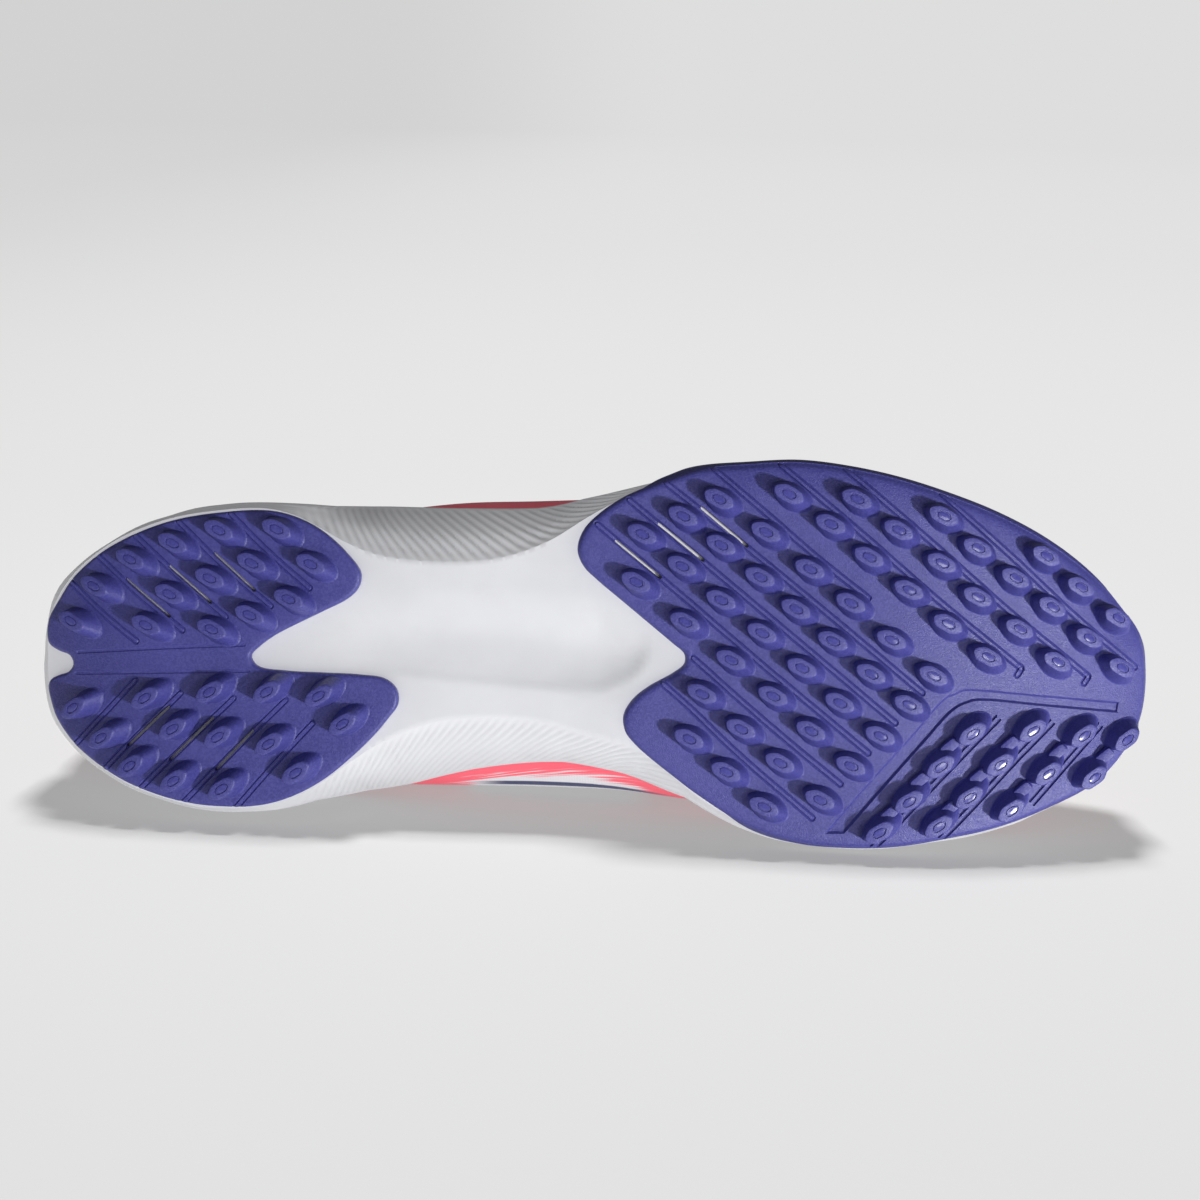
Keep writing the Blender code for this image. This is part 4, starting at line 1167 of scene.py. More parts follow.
# ---------------------------------------------------------------- midsole
HOLLOW_LOW = ((300, 658), (330, 664), (380, 673), (455, 681), (505, 686), (560, 690),
              (600, 691), (630, 678), (652, 656))
HOLLOW_HIGH = ((300, 612), (380, 600), (500, 597), (600, 606), (652, 640))


def hollow_line(points):
    line = np.array([tuple(on_tread(u, v, -2.5)) for u, v in points])
    xs = np.linspace(line[0, 0], line[-1, 0], 60)
    return xs, np.interp(xs, line[:, 0], line[:, 1])


_hollow_low, _hollow_high = hollow_line(HOLLOW_LOW), hollow_line(HOLLOW_HIGH)


def trough(x, y):
    """A shallow hollow under the waist, steep on its inner side."""
    low = float(np.interp(x, *_hollow_low))
    high = float(np.interp(x, *_hollow_high))
    ends = smooth(x, 66.0, 92.0) * (1 - smooth(x, 148.0, 157.0))
    deep = 1.7 + 1.1 * smooth(x, 95.0, 145.0)
    t = min(max((low + 0.8 - y) / (15.0 - 4.0 * float(smooth(x, 110.0, 148.0))), 0.0), 1.0)
    bowl = smooth(t, 0.0, 0.16) * (1 - (1 - t) ** 2)
    return float(deep * ends * bowl * smooth(y - high, -3.0, 11.0))


CUT = {-1: ((-10.0, 0.45), (48.0, 0.6), (60.0, 0.7), (84.0, 0.8), (94.0, 1.6), (126.0, 1.5), (134.0, 0.9),
            (152.0, 0.9), (162.0, 0.3), (175.0, 0.0), (245.0, 0.0), (258.0, 1.4)),
       1: ((-10.0, 0.45), (30.0, 0.9), (68.0, 0.9), (77.0, 3.5), (140.0, 3.5), (152.0, 2.6), (165.0, 0.6), (175.0, 0.0),
           (245.0, 0.0), (258.0, 1.4))}
LIP_CUT = {-1: ((90.0, 0.0), (205.0, 0.0), (222.0, 1.3), (245.0, 1.3), (262.0, 2.0)),
           1: ((88.0, 0.0), (104.0, 0.9), (128.0, 0.9), (140.0, 0.0), (235.0, 0.0),
               (250.0, 0.9), (262.0, 2.0))}


def rim_out(side, s):
    p = last.at(side, s)
    n = last.out(side, s)
    cut = float(path_share(LIP_CUT[side], p.x))
    q = p + n * (LIP - cut + GAP)
    return Vector((q.x, q.y, rim_height(side, q.x, s)))


def wall_points(side, s):
    low = foot_edge.at(side, s)
    top = rim_out(side, s)
    n = last.out(side, s)
    over = (edge.at(side, s) - Vector((top.x, top.y))).dot(n)
    over = max(0.0, over - float(path_share(CUT[side], top.x)))
    wide = Vector((top.x, top.y)) + n * over
    span = (wide - low).length
    carved = min(1.0, max(0.0, (span - 2.0) / 8.0))
    z0 = under(low.x)
    low = Vector((low.x, low.y, z0))
    high = height(BED, top.x) - 1.5
    wide = Vector((wide.x, wide.y, z0 + 3.0 + carved * (high - z0 - 3.0)))
    mid = low.lerp(wide, 0.55)
    mid.z -= carved * (wide.z - z0) * 0.2
    return low, mid, wide, wide.lerp(top, 0.6), top, carved


def spaced_shares():
    """Shares from heel to toe, close together over the ribbed waist."""
    out, s = [0.0], 0.0
    while s < 1.0:
        x = foot_edge.at(-1, s).x
        fine = smooth(x, 52.0, 62.0) * (1 - smooth(x, 168.0, 180.0))
        s += (0.0062 - 0.0046 * float(fine))
        out.append(min(s, 1.0))
    if out[-1] - out[-2] < 0.002:
        out.pop(-2)
    return out


def curve_through(points, per):
    """Centripetal curve through an open list of points."""
    ext = [points[0] * 2 - points[1]] + list(points) + [points[-1] * 2 - points[-2]]
    out = []
    for i in range(1, len(ext) - 2):
        p0, p1, p2, p3 = ext[i - 1:i + 3]
        t0 = 0.0
        t1 = t0 + max((p1 - p0).length, 1e-4) ** 0.5
        t2 = t1 + max((p2 - p1).length, 1e-4) ** 0.5
        t3 = t2 + max((p3 - p2).length, 1e-4) ** 0.5
        for k in range(per):
            t = t1 + (t2 - t1) * k / per
            a1 = p0 * ((t1 - t) / (t1 - t0)) + p1 * ((t - t0) / (t1 - t0))
            a2 = p1 * ((t2 - t) / (t2 - t1)) + p2 * ((t - t1) / (t2 - t1))
            a3 = p2 * ((t3 - t) / (t3 - t2)) + p3 * ((t - t2) / (t3 - t2))
            b1 = a1 * ((t2 - t) / (t2 - t0)) + a2 * ((t - t0) / (t2 - t0))
            b2 = a2 * ((t3 - t) / (t3 - t1)) + a3 * ((t - t1) / (t3 - t1))
            out.append(b1 * ((t2 - t) / (t2 - t1)) + b2 * ((t - t1) / (t2 - t1)))
    out.append(points[-1])
    return out


def midsole():
    shares = spaced_shares()
    n = len(shares) - 1
    cols = [(-1, s) for s in shares] + [(1, s) for s in shares[-2:0:-1]]
    verts, columns, groove_shades = [], [], []
    across = 36
    for side, s in cols:
        low, mid, wide, over, top, carved = wall_points(side, s)
        face = curve_through([low, mid, wide, over, top], 16)
        face = face[:33] + face[34::2]
        run = 0.0
        line = []
        out = last.out(side, s)
        total = sum((b - a).length for a, b in zip(face[:33], face[1:33]))
        shade = []
        for i, p in enumerate(face):
            dark = 0.0
            if i:
                run += (p - face[i - 1]).length
            if carved > 0.05 and 0 < i < 33:
                # fine grooves swept over the hollow wall
                t = run / max(total, 1e-6)
                w = (Vector((p.x, p.y)) - Vector((low.x, low.y))).length
                swept = (0.8 * w + 0.03 * w * w) * (1 + 1.1 * float(smooth(p.x, 112.0, 152.0)))
                turn = math.cos(2 * math.pi * (p.x + swept) / (3.0 if side < 0 else 2.45))
                cut = (0.5 + 0.5 * turn) ** 1.6
                amount = min(1.0, carved * 1.6) * min(1.0, t * 7, (1.0 - t) * 9)
                cut *= max(amount, 0.0)
                # painted shade: how far the foam's colour is darkened in this groove
                dark = cut * (1.0 if side < 0 else 0.55)
                deep = (0.50 if side < 0 else 0.36) * cut
                p = p + Vector((0, 0, deep)) - Vector((out.x, out.y, 0)) * (deep * 0.6)
            shade.append(dark)
            line.append(p)
        dish = last.at(side, s) + out * GAP
        bed = height(BED, dish.x)
        lip = Vector((dish.x, dish.y, top.z - 0.2))
        crown = (top + lip) / 2 + Vector((0, 0, 0.35))
        line = line[:-1] + [top.lerp(crown, 0.35) - Vector((0, 0, 0.18)), crown,
                            lip.lerp(crown, 0.35) - Vector((0, 0, 0.12)),
                            lip - Vector((0, 0, 0.5)),
                            Vector((dish.x, dish.y, (lip.z + bed) / 2)),
                            Vector((dish.x, dish.y, bed))]
        columns.append(line)
        groove_shades += shade + [0.0] * (len(line) - len(shade))
    m = len(columns[0])
    for line in columns:
        verts += [tuple(p) for p in line]
    count = len(cols)
    faces = []
    for i in range(count):
        j = (i + 1) % count
        for k in range(m - 1):
            faces.append((i * m + k, j * m + k, j * m + k + 1, i * m + k + 1))

    def fill(row, level, cells):
        rows = []
        for j in range(1, n):
            a, b = j * m + row, (2 * n - j) * m + row
            pa, pb = Vector(verts[a]), Vector(verts[b])
            line = [a]
            for k in range(1, cells):
                p = pa.lerp(pb, k / cells)
                line.append(len(verts))
                verts.append((p.x, p.y, level(p.x, p.y)))
            line.append(b)
            rows.append(line)
        for r0, r1 in zip(rows, rows[1:]):
            for k in range(cells):
                faces.append((r0[k], r1[k], r1[k + 1], r0[k + 1]))
        ends = (row, n * m + row)
        for k in range(cells):
            faces.append((ends[0], rows[0][k], rows[0][k + 1]))
            faces.append((ends[1], rows[-1][k + 1], rows[-1][k]))

    fill(0, lambda x, y: under(x) + trough(x, y), across)
    fill(m - 1, lambda x, y: height(BED, x), 6)
    obj = finish_mesh("midsole_foam", verts, faces, [FOAM], 42.0)
    # the painted shade of the swept grooves, read by the foam's colour
    groove_shades += [0.0] * (len(verts) - len(groove_shades))
    at = obj.data.attributes.new("groove", 'FLOAT', 'POINT')
    at.data.foreach_set("value", np.asarray(groove_shades, np.float32))
    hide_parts("midsole")
    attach(obj, "root")


midsole()


# ------------------------------------------------------------------ upper
PER_SIDE = 200
V_LEVELS = ([0.0, 0.2, 0.36] + list(np.linspace(0.42, 1.0, 14))
            + list(np.linspace(1.02, 2.0, 50)))
EYELET_S = (0.485, 0.545, 0.605, 0.665, 0.725, 0.785)
EYELET_V = 1.86


def surface(per_side, levels):
    """Outer points and outward normals of the upper, columns by levels."""
    cols = [(-1, i / per_side) for i in range(per_side + 1)]
    cols += [(1, i / per_side) for i in range(per_side - 1, 0, -1)]
    pts = np.array([[tuple(r.at(v)) for v in levels]
                    for r in (Rib(side, s) for side, s in cols)])
    du = np.roll(pts, -1, 0) - np.roll(pts, 1, 0)
    dv = np.gradient(pts, axis=1)
    n = np.cross(du, dv)
    n /= np.maximum(np.linalg.norm(n, axis=2), 1e-9)[..., None]
    centre = pts.mean((0, 1))
    if ((pts - centre) * n).sum() < 0:
        n = -n
    return cols, pts, n


EYESTAY_EDGE = ((0.0, 9.0), (0.40, 9.0), (0.43, 2.1), (0.46, 1.66), (0.60, 1.70),
                (0.75, 1.72), (0.86, 1.78), (0.94, 1.84), (1.0, 1.86))
COUNTER_EDGE = ((0.0, 1.62), (0.08, 1.58), (0.14, 1.42), (0.19, 1.10), (0.215, 0.6),
                (0.23, -1.0), (1.0, -1.0))
TOE_EDGE = ((0.0, -1.0), (0.78, -1.0), (0.80, 0.55), (0.86, 0.95), (0.93, 1.16),
            (1.0, 1.24))


def upper():
    levels = np.array(V_LEVELS)
    cols, pts, nrm = surface(PER_SIDE, V_LEVELS)
    side = np.array([c[0] for c in cols], float)[:, None]
    s = np.array([c[1] for c in cols])[:, None]
    v = levels[None, :]
    s2, v2 = np.broadcast_arrays(s, v)
    # length up each rib, to turn level differences into millimetres
    seg = np.linalg.norm(np.diff(pts, axis=1), axis=2)
    up = np.concatenate([np.zeros((len(cols), 1)), np.cumsum(seg, 1)], 1)

    def up_at(limit):
        return np.array([np.interp(l, levels, row) for l, row in zip(limit, up)])[:, None]

    eyestay = up - up_at(path_share(EYESTAY_EDGE, s[:, 0]))
    eyestay = np.where(s2 < 0.43, -9.0, eyestay)
    counter = up_at(path_share(COUNTER_EDGE, s[:, 0])) - up
    counter = np.where(s2 > 0.225, -9.0, counter)
    toe = up_at(path_share(TOE_EDGE, s[:, 0])) - up
    toe = np.where(s2 < 0.79, -9.0, toe)
    field = np.maximum(np.maximum(eyestay, counter), toe)
    x, y = pts[..., 0], pts[..., 1]
    lift = 0.45 * smooth(field, -0.5, 0.6)
    # collar padding
    pad = smooth(v2, 1.42, 1.72) * (1 - 0.55 * smooth(v2, 1.9, 2.0)) * (1 - smooth(s2, 0.37, 0.45))
    lift = lift + 1.5 * pad
    # a channel below the padding
    lift = lift - 0.5 * np.exp(-((v2 - 1.40) / 0.04) ** 2) * (1 - smooth(s2, 0.34, 0.40))
    # walking creases over the vamp, behind the toe box
    vamp = smooth(v2, 0.9, 1.25)
    for at, deep, wide, bow in ((206.0, 1.0, 3.0, 0.004), (216.5, 0.8, 2.6, 0.006),
                                (197.0, 0.5, 2.4, 0.002)):
        q = (x - at + bow * (y - 2.0) ** 2) / wide
        lift = lift - deep * vamp * (np.exp(-q * q) - 0.45 * np.exp(-((abs(q) - 1.9) ** 2)))
    # pulls below the eyelets and at the ankle
    for at, deep in ((0.52, 0.45), (0.60, 0.5), (0.68, 0.45)):
        q = (s2 + 0.05 * (v2 - 1.3) - at) / 0.013
        lift = lift - deep * np.exp(-q * q) * smooth(v2, 1.08, 1.25) * (1 - smooth(v2, 1.5, 1.64))
    for at, deep in ((0.27, 0.6), (0.33, 0.7)):
        q = (s2 - 0.10 * (v2 - 1.2) - at) / 0.016
        lift = lift - deep * np.exp(-q * q) * smooth(v2, 0.85, 1.0) * (1 - smooth(v2, 1.3, 1.45))
    # a pressed ring round each eyelet
    for e in EYELET_S:
        d_mm = np.hypot((s2 - e) * 310.0, (v2 - EYELET_V) * 62.0)
        lift = lift - 0.28 * np.exp(-((d_mm - 3.3) / 0.6) ** 2)
    lift = lift * smooth(v2, 0.44, 0.56)
    outer = pts + nrm * lift[..., None]
    wall = WALL + 2.2 * smooth(v2, 1.5, 1.8) * (1 - smooth(s2, 0.36, 0.43)) * (1 - 0.4 * smooth(v2, 1.92, 2.0))
    inner = pts - nrm * wall[..., None]
    tip_o, tip_i = outer[:, -1], inner[:, -1]
    mid = (tip_o + tip_i) / 2
    half = np.linalg.norm(tip_o - tip_i, axis=1)[:, None] / 2
    rise = pts[:, -1] - pts[:, -2]
    rise /= np.linalg.norm(rise, axis=1)[:, None]
    lip = []
    for a in (25, 55, 90, 125, 155):
        t = math.radians(a)
        lip.append(mid + (tip_o - mid) * math.cos(t) + rise * half * math.sin(t) * 0.8)
    rows = np.concatenate([outer, np.stack(lip, 1), inner[:, ::-1]], 1)
    n, m = rows.shape[:2]
    obj = finish_mesh("upper_shell", rows.reshape(-1, 3), torus_faces(n, m), [SKIN], 50.0)
    count_o, count_l = outer.shape[1], len(lip)

    def spread(out_part, lip_value, in_value):
        a = np.zeros((n, m), np.float32)
        a[:, :count_o] = out_part
        a[:, count_o:count_o + count_l] = lip_value
        a[:, count_o + count_l:] = in_value
        return a.ravel()

    rim = np.array([rim_height(c[0], p[0, 0], c[1]) for c, p in zip(cols, pts)])[:, None]
    low = (pts[..., 2] - rim) * 0.001
    for name, value in (("overlay", spread(field, 1.0, -2.0)),
                        ("low", spread(low, 0.05, 0.05)),
                        ("lining", spread(0.0, 0.35, 1.0))):
        at = obj.data.attributes.new(name, 'FLOAT', 'POINT')
        at.data.foreach_set("value", value)
    # punched eyelets
    bm = bmesh.new()
    for sd in (-1, 1):
        for e in EYELET_S:
            p, q = rib(sd, e, EYELET_V), inward(sd, e, EYELET_V)
            made = bmesh.ops.create_cone(bm, cap_ends=True, segments=24,
                                         radius1=EYELET_R * 0.001,
                                         radius2=EYELET_R * 0.001, depth=0.010)
            turn = q.to_track_quat('Z', 'Y').to_matrix().to_4x4()
            for w in made["verts"]:
                w.co = REST @ Matrix.Translation(p * 0.001) @ turn @ w.co
    mesh = bpy.data.meshes.new("punch")
    bm.to_mesh(mesh)
    bm.free()
    punch = bpy.data.objects.new("punch", mesh)
    bpy.context.scene.collection.objects.link(punch)
    mod = obj.modifiers.new("punch", 'BOOLEAN')
    mod.operation = 'DIFFERENCE'
    mod.object = punch
    mod.solver = 'EXACT'
    bpy.context.view_layer.update()
    baked = bpy.data.meshes.new_from_object(
        obj.evaluated_get(bpy.context.evaluated_depsgraph_get()))
    obj.modifiers.clear()
    obj.data = baked
    bpy.data.objects.remove(punch)
    baked.shade_smooth()
    baked.set_sharp_from_angle(angle=math.radians(50.0))
    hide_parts("upper")
    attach(obj, "root")
    return cols, levels, outer, nrm, up


cols, levels, outer, nrm, up = upper()


def read_surface(c, level):
    """Point and normal of the finished outer face at a column and a level."""
    n = len(cols)
    i0 = int(math.floor(c)) % n
    i1 = (i0 + 1) % n
    f = c - math.floor(c)
    k = min(max(np.searchsorted(levels, level) - 1, 0), len(levels) - 2)
    g = (level - levels[k]) / (levels[k + 1] - levels[k])
    out = []
    for grid in (outer, nrm):
        a = grid[i0, k] * (1 - g) + grid[i0, k + 1] * g
        b = grid[i1, k] * (1 - g) + grid[i1, k + 1] * g
        out.append(Vector(a * (1 - f) + b * f))
    return out[0], out[1].normalized()


def stitches(path, pitch=3.0, length=2.1, radius=0.26):
    """Small sunk thread beads along a path of (column, level)."""
    pts = [read_surface(c, l) for c, l in path]
    run = [0.0]
    for a, b in zip(pts, pts[1:]):
        run.append(run[-1] + (b[0] - a[0]).length)

    def along(d):
        k = min(max(np.searchsorted(run, d) - 1, 0), len(pts) - 2)
        f = (d - run[k]) / max(run[k + 1] - run[k], 1e-9)
        return pts[k][0].lerp(pts[k + 1][0], f), pts[k][1].lerp(pts[k + 1][1], f).normalized()

    verts, faces = [], []
    d = pitch / 2
    sides = 6
    while d + length < run[-1]:
        (a, na), (b, nb) = along(d), along(d + length)
        t = (b - a).normalized()
        w = t.cross(na).normalized()
        base = len(verts)
        for f, r, h in ((0.0, 0.25, -0.15), (0.18, 0.9, 0.06), (0.5, 1.0, 0.16),
                        (0.82, 0.9, 0.06), (1.0, 0.25, -0.15)):
            c = a.lerp(b, f) + na * h
            for k in range(sides):
                q = 2 * math.pi * k / sides
                verts.append(c + (w * math.cos(q) + na * math.sin(q)) * radius * r)
        for i in range(4):
            for k in range(sides):
                j = (k + 1) % sides
                faces.append((base + i * sides + k, base + i * sides + j,
                              base + (i + 1) * sides + j, base + (i + 1) * sides + k))
        faces.append(tuple(base + k for k in range(sides)))
        faces.append(tuple(base + 4 * sides + k for k in range(sides)))
        d += pitch
    return np.array([tuple(v) for v in verts]), faces


def column_of(side, s):
    return s * PER_SIDE if side < 0 else 2 * PER_SIDE - s * PER_SIDE


def rib_level(c, level, mm):
    """The level that lies mm up the rib from another."""
    row = up[int(round(c)) % len(cols)]
    return float(np.interp(np.interp(level, levels, row) + mm, row, levels))


runs = []
for side in (-1, 1):
    for off in (1.5, 3.3):
        path = []
        for s in np.linspace(0.452, 0.985, 110):
            c = column_of(side, s)
            path.append((c, rib_level(c, float(path_share(EYESTAY_EDGE, s)), off)))
        runs.append(stitches(path))
    path = []
    for s in np.linspace(0.0, 0.205, 60):
        c = column_of(side, s)
        path.append((c, rib_level(c, float(path_share(COUNTER_EDGE, s)), -1.6)))
    runs.append(stitches(path))
    path = []
    for s in np.linspace(0.815, 1.0, 60):
        c = column_of(side, s)
        path.append((c, rib_level(c, float(path_share(TOE_EDGE, s)), -1.6)))
    runs.append(stitches(path))
    path = [(column_of(side, s), 1.40) for s in np.linspace(0.0, 0.36, 80)]
    runs.append(stitches(path))
verts, faces, _ = joined(runs)
thread = finish_mesh("upper_stitching", verts, faces, [THREAD], 60.0)
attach(thread, "root")


# ----------------------------------------------------------------- insole
def insole():
    n = 90
    cols = [(-1, i / n) for i in range(n + 1)] + [(1, i / n) for i in range(n - 1, 0, -1)]
    lines = []
    for side, s in cols:
        o = last.out(side, s)
        p = last.at(side, s) - o * (WALL + 0.9)
        z = height(BED, p.x) + 0.4
        line = []
        for inset, h in ((0.5, 0.0), (0.0, 0.5), (0.0, 2.9), (0.25, INSOLE - 0.15),
                         (0.8, INSOLE + 0.1), (1.8, INSOLE + 0.2), (4.0, INSOLE),
                         (8.0, INSOLE - 0.5)):
            q = p - o * inset
            line.append((q.x, q.y, z + h))
        lines.append(line)
    m = len(lines[0])
    verts = [q for line in lines for q in line]
    count = len(cols)
    faces = []
    for i in range(count):
        j = (i + 1) % count
        for k in range(m - 1):
            faces.append((i * m + k, j * m + k, j * m + k + 1, i * m + k + 1))
    for row, lift, cells in ((0, 0.4, 4), (m - 1, 0.4 + INSOLE - 0.6, 10)):
        rows = []
        for j in range(1, n):
            a, b = j * m + row, (2 * n - j) * m + row
            pa, pb = Vector(verts[a]), Vector(verts[b])
            line = [a]
            for k in range(1, cells):
                p = pa.lerp(pb, k / cells)
                line.append(len(verts))
                verts.append((p.x, p.y, height(BED, p.x) + lift))
            line.append(b)
            rows.append(line)
        for r0, r1 in zip(rows, rows[1:]):
            for k in range(cells):
                faces.append((r0[k], r1[k], r1[k + 1], r0[k + 1]))
        for k in range(cells):
            faces.append((row, rows[0][k], rows[0][k + 1]))
            faces.append((n * m + row, rows[-1][k + 1], rows[-1][k]))
    obj = finish_mesh("insole_bed", verts, faces, [SOCK], 45.0)
    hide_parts("insole")
    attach(obj, "root")


insole()

# ----------------------------------------------------------------- tongue
TONGUE_S = (0.50, 0.55, 0.60, 0.65, 0.70, 0.75, 0.80, 0.84)
TONGUE_V = (1.76, 1.84, 1.92, 2.0)
TONGUE_TIP = (
    (108.0, 96.0, 14.0), (99.0, 99.6, 14.5), (91.0, 102.4, 14.0), (86.0, 103.8, 10.5),
)


def tongue():
    sections = []
    for x, z, w in TONGUE_TIP[::-1]:
        row = []
        for k in range(9):
            y = -w + 2 * w * k / 8
            row.append(Vector((x + 0.10 * abs(y), y, z - 0.010 * y * y)))
        sections.append((row, Vector((0.36, 0, -0.93))))
    for s in TONGUE_S:
        lat = [rib(-1, s, v) + inward(-1, s, v) * (WALL + 0.7) for v in TONGUE_V]
        med = [rib(1, s, v) + inward(1, s, v) * (WALL + 0.7) for v in TONGUE_V]
        mid = (lat[-1] + med[-1]) / 2 + Vector((0.3, 0, 0.9))
        sections.append((lat + [mid] + med[::-1], Vector((0.33, 0, -0.94))))
    # finer both ways
    rows = [curve_through(row, 4) for row, d in sections]
    down = [d for row, d in sections]
    fine = []
    for k in range(len(rows[0])):
        fine.append(curve_through([row[k] for row in rows], 5))
    length = len(fine[0])
    width = len(fine)
    tops, lows = [], []
    for i in range(length):
        f = i / (length - 1)
        d = down[0].lerp(down[-1], f).normalized()
        top, low = [], []
        for k in range(width):
            e = min(i, length - 1 - i, k, width - 1 - k)
            puff = 1.0 - (1.0 - min(e / 3.0, 1.0)) ** 2 * 0.75
            p = fine[k][i]
            top.append(p + d * (TONGUE * 0.5 * (1 - puff)))
            low.append(p + d * (TONGUE * (0.5 + 0.5 * puff)))
        tops.append(top)
        lows.append(low)
    verts = [tuple(p) for row in tops for p in row] + [tuple(p) for row in lows for p in row]
    size = length * width
    faces = []
    for i in range(length - 1):
        for k in range(width - 1):
            a, b = i * width + k, i * width + k + 1
            c, d = (i + 1) * width + k + 1, (i + 1) * width + k
            faces.append((a, b, c, d))
            faces.append((d + size, c + size, b + size, a + size))
    for i in range(length - 1):
        for k in (0, width - 1):
            a, b = i * width + k, (i + 1) * width + k
            faces.append((a, b, b + size, a + size))
    for k in range(width - 1):
        for i in (0, length - 1):
            a, b = i * width + k, i * width + k + 1
            faces.append((a, b, b + size, a + size))
    obj = finish_mesh("tongue_pad", verts, faces, [MESH], 60.0)
    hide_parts("tongue")
    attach(obj, "root")


tongue()

# ------------------------------------------------------------------- lace
LACE_UP = LACE_R + 1.0
LACE_CROWN = 5.2
LACE_WIDE, LACE_THICK = 2.1, 0.95


def ribbon(points, ups, weave_from):
    """A flat woven band with oval section along points."""
    n = 14
    verts, faces, along, across = [], [], [], []
    run = weave_from
    for i, p in enumerate(points):
        d = (points[min(i + 1, len(points) - 1)] - points[max(i - 1, 0)]).normalized()
        up_ = (ups[i] - d * ups[i].dot(d)).normalized()
        w = up_.cross(d).normalized()
        if i:
            run += (p - points[i - 1]).length
        for k in range(n):
            t = 2 * math.pi * k / n
            c, s = math.cos(t), math.sin(t)
            a = math.copysign(abs(c) ** 0.75, c) * LACE_WIDE
            b = math.copysign(abs(s) ** 0.9, s) * LACE_THICK
            verts.append(tuple(p + w * a + up_ * b))
            along.append(run)
            across.append(a)
    m = len(points)
    for i in range(m - 1):
        for k in range(n):
            j = (k + 1) % n
            faces.append((i * n + k, i * n + j, (i + 1) * n + j, (i + 1) * n + k))
    faces.append(tuple(range(n)))
    faces.append(tuple((m - 1) * n + k for k in range(n)))
    return np.array(verts), faces, along, across


def lace():
    ways = [((-1, EYELET_S[-1]), (1, EYELET_S[-1]), 0.0)]
    for i in range(len(EYELET_S) - 1):
        ways.append(((-1, EYELET_S[i + 1]), (1, EYELET_S[i]), 0.9 if i % 2 else -0.4))
        ways.append(((1, EYELET_S[i + 1]), (-1, EYELET_S[i]), -0.4 if i % 2 else 0.9))
    parts, along, across = [], [], []
    for number, (a, b, lift) in enumerate(ways):
        (pa, na), (pb, nb) = ((rib(*e, EYELET_V), inward(*e, EYELET_V)) for e in (a, b))
        qa, qb = pa - na * LACE_UP, pb - nb * LACE_UP
        pts, ups = [pa + na * 1.0, pa - na * 0.8], [qb - qa, qb - qa]
        steps = 26
        first = (Vector((0, 0, 1)) - na).normalized()
        for k in range(1, steps):
            t = k / steps
            p = qa.lerp(qb, t)
            p.z += LACE_CROWN * (1 - (2 * t - 1) ** 4)
            p.z += lift * (1 - (2 * t - 1) ** 2) ** 3 - 0.5 * (2 * t - 1) ** 4
            pts.append(p)
            ups.append(-(na.lerp(nb, t)).normalized())
        pts += [pb - nb * 0.8, pb + nb * 1.0]
        ups += [qa - qb, qa - qb]
        ups[0] = ups[1] = (qa - qb).normalized() * -1
        # the band turns over the edge of each hole
        ups[0] = (qa - qb).normalized()
        ups[1] = ((qa - qb).normalized() - na).normalized()
        ups[-1] = (qb - qa).normalized()
        ups[-2] = ((qb - qa).normalized() - nb).normalized()
        smooth_pts = curve_through(pts, 2)
        smooth_ups = curve_through(ups, 2)
        v, f, al, ac = ribbon(smooth_pts, smooth_ups, number * 13.7)
        parts.append((v, f))
        along += al
        across += ac
    verts, faces, _ = joined(parts)
    obj = finish_mesh("lace_bands", verts, faces, [CORD], 60.0)
    for name, values in (("along", along), ("across", across)):
        at = obj.data.attributes.new(name, 'FLOAT', 'POINT')
        at.data.foreach_set("value", np.asarray(values, np.float32))
    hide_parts("lace")
    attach(obj, "root")


lace()

# ------------------------------------------------- floor, light and camera
# glow of the floor and backdrop, painted light: near the shoe, at 2 m, and far off
GREY = 0.795
PAINTED_FALLOFF_GREY = 0.757
FAR = 0.729


def shaded(tree, kind, **values):
    """A Map Range node with these ends."""
    node = tree.nodes.new("ShaderNodeMapRange")
    node.interpolation_type = kind
    for key, v in zip(("From Min", "From Max", "To Min", "To Max"), values["ends"]):
        node.inputs[key].default_value = v
    return node


def side_fall(tree, coords, source):
    """Painted shade: the glow is made a little darker far over on the left."""
    parts = tree.nodes.new("ShaderNodeSeparateXYZ")
    fall = shaded(tree, 'SMOOTHSTEP', ends=(-0.05, -1.00, 1.0, 0.885))
    times = tree.nodes.new("ShaderNodeMath")
    times.operation = 'MULTIPLY'
    tree.links.new(coords.outputs["Object"], parts.inputs[0])
    tree.links.new(parts.outputs[0], fall.inputs["Value"])
    tree.links.new(fall.outputs[0], times.inputs[0])
    if source is None:
        times.inputs[1].default_value = FAR
    else:
        tree.links.new(source, times.inputs[1])
    return times.outputs[0]


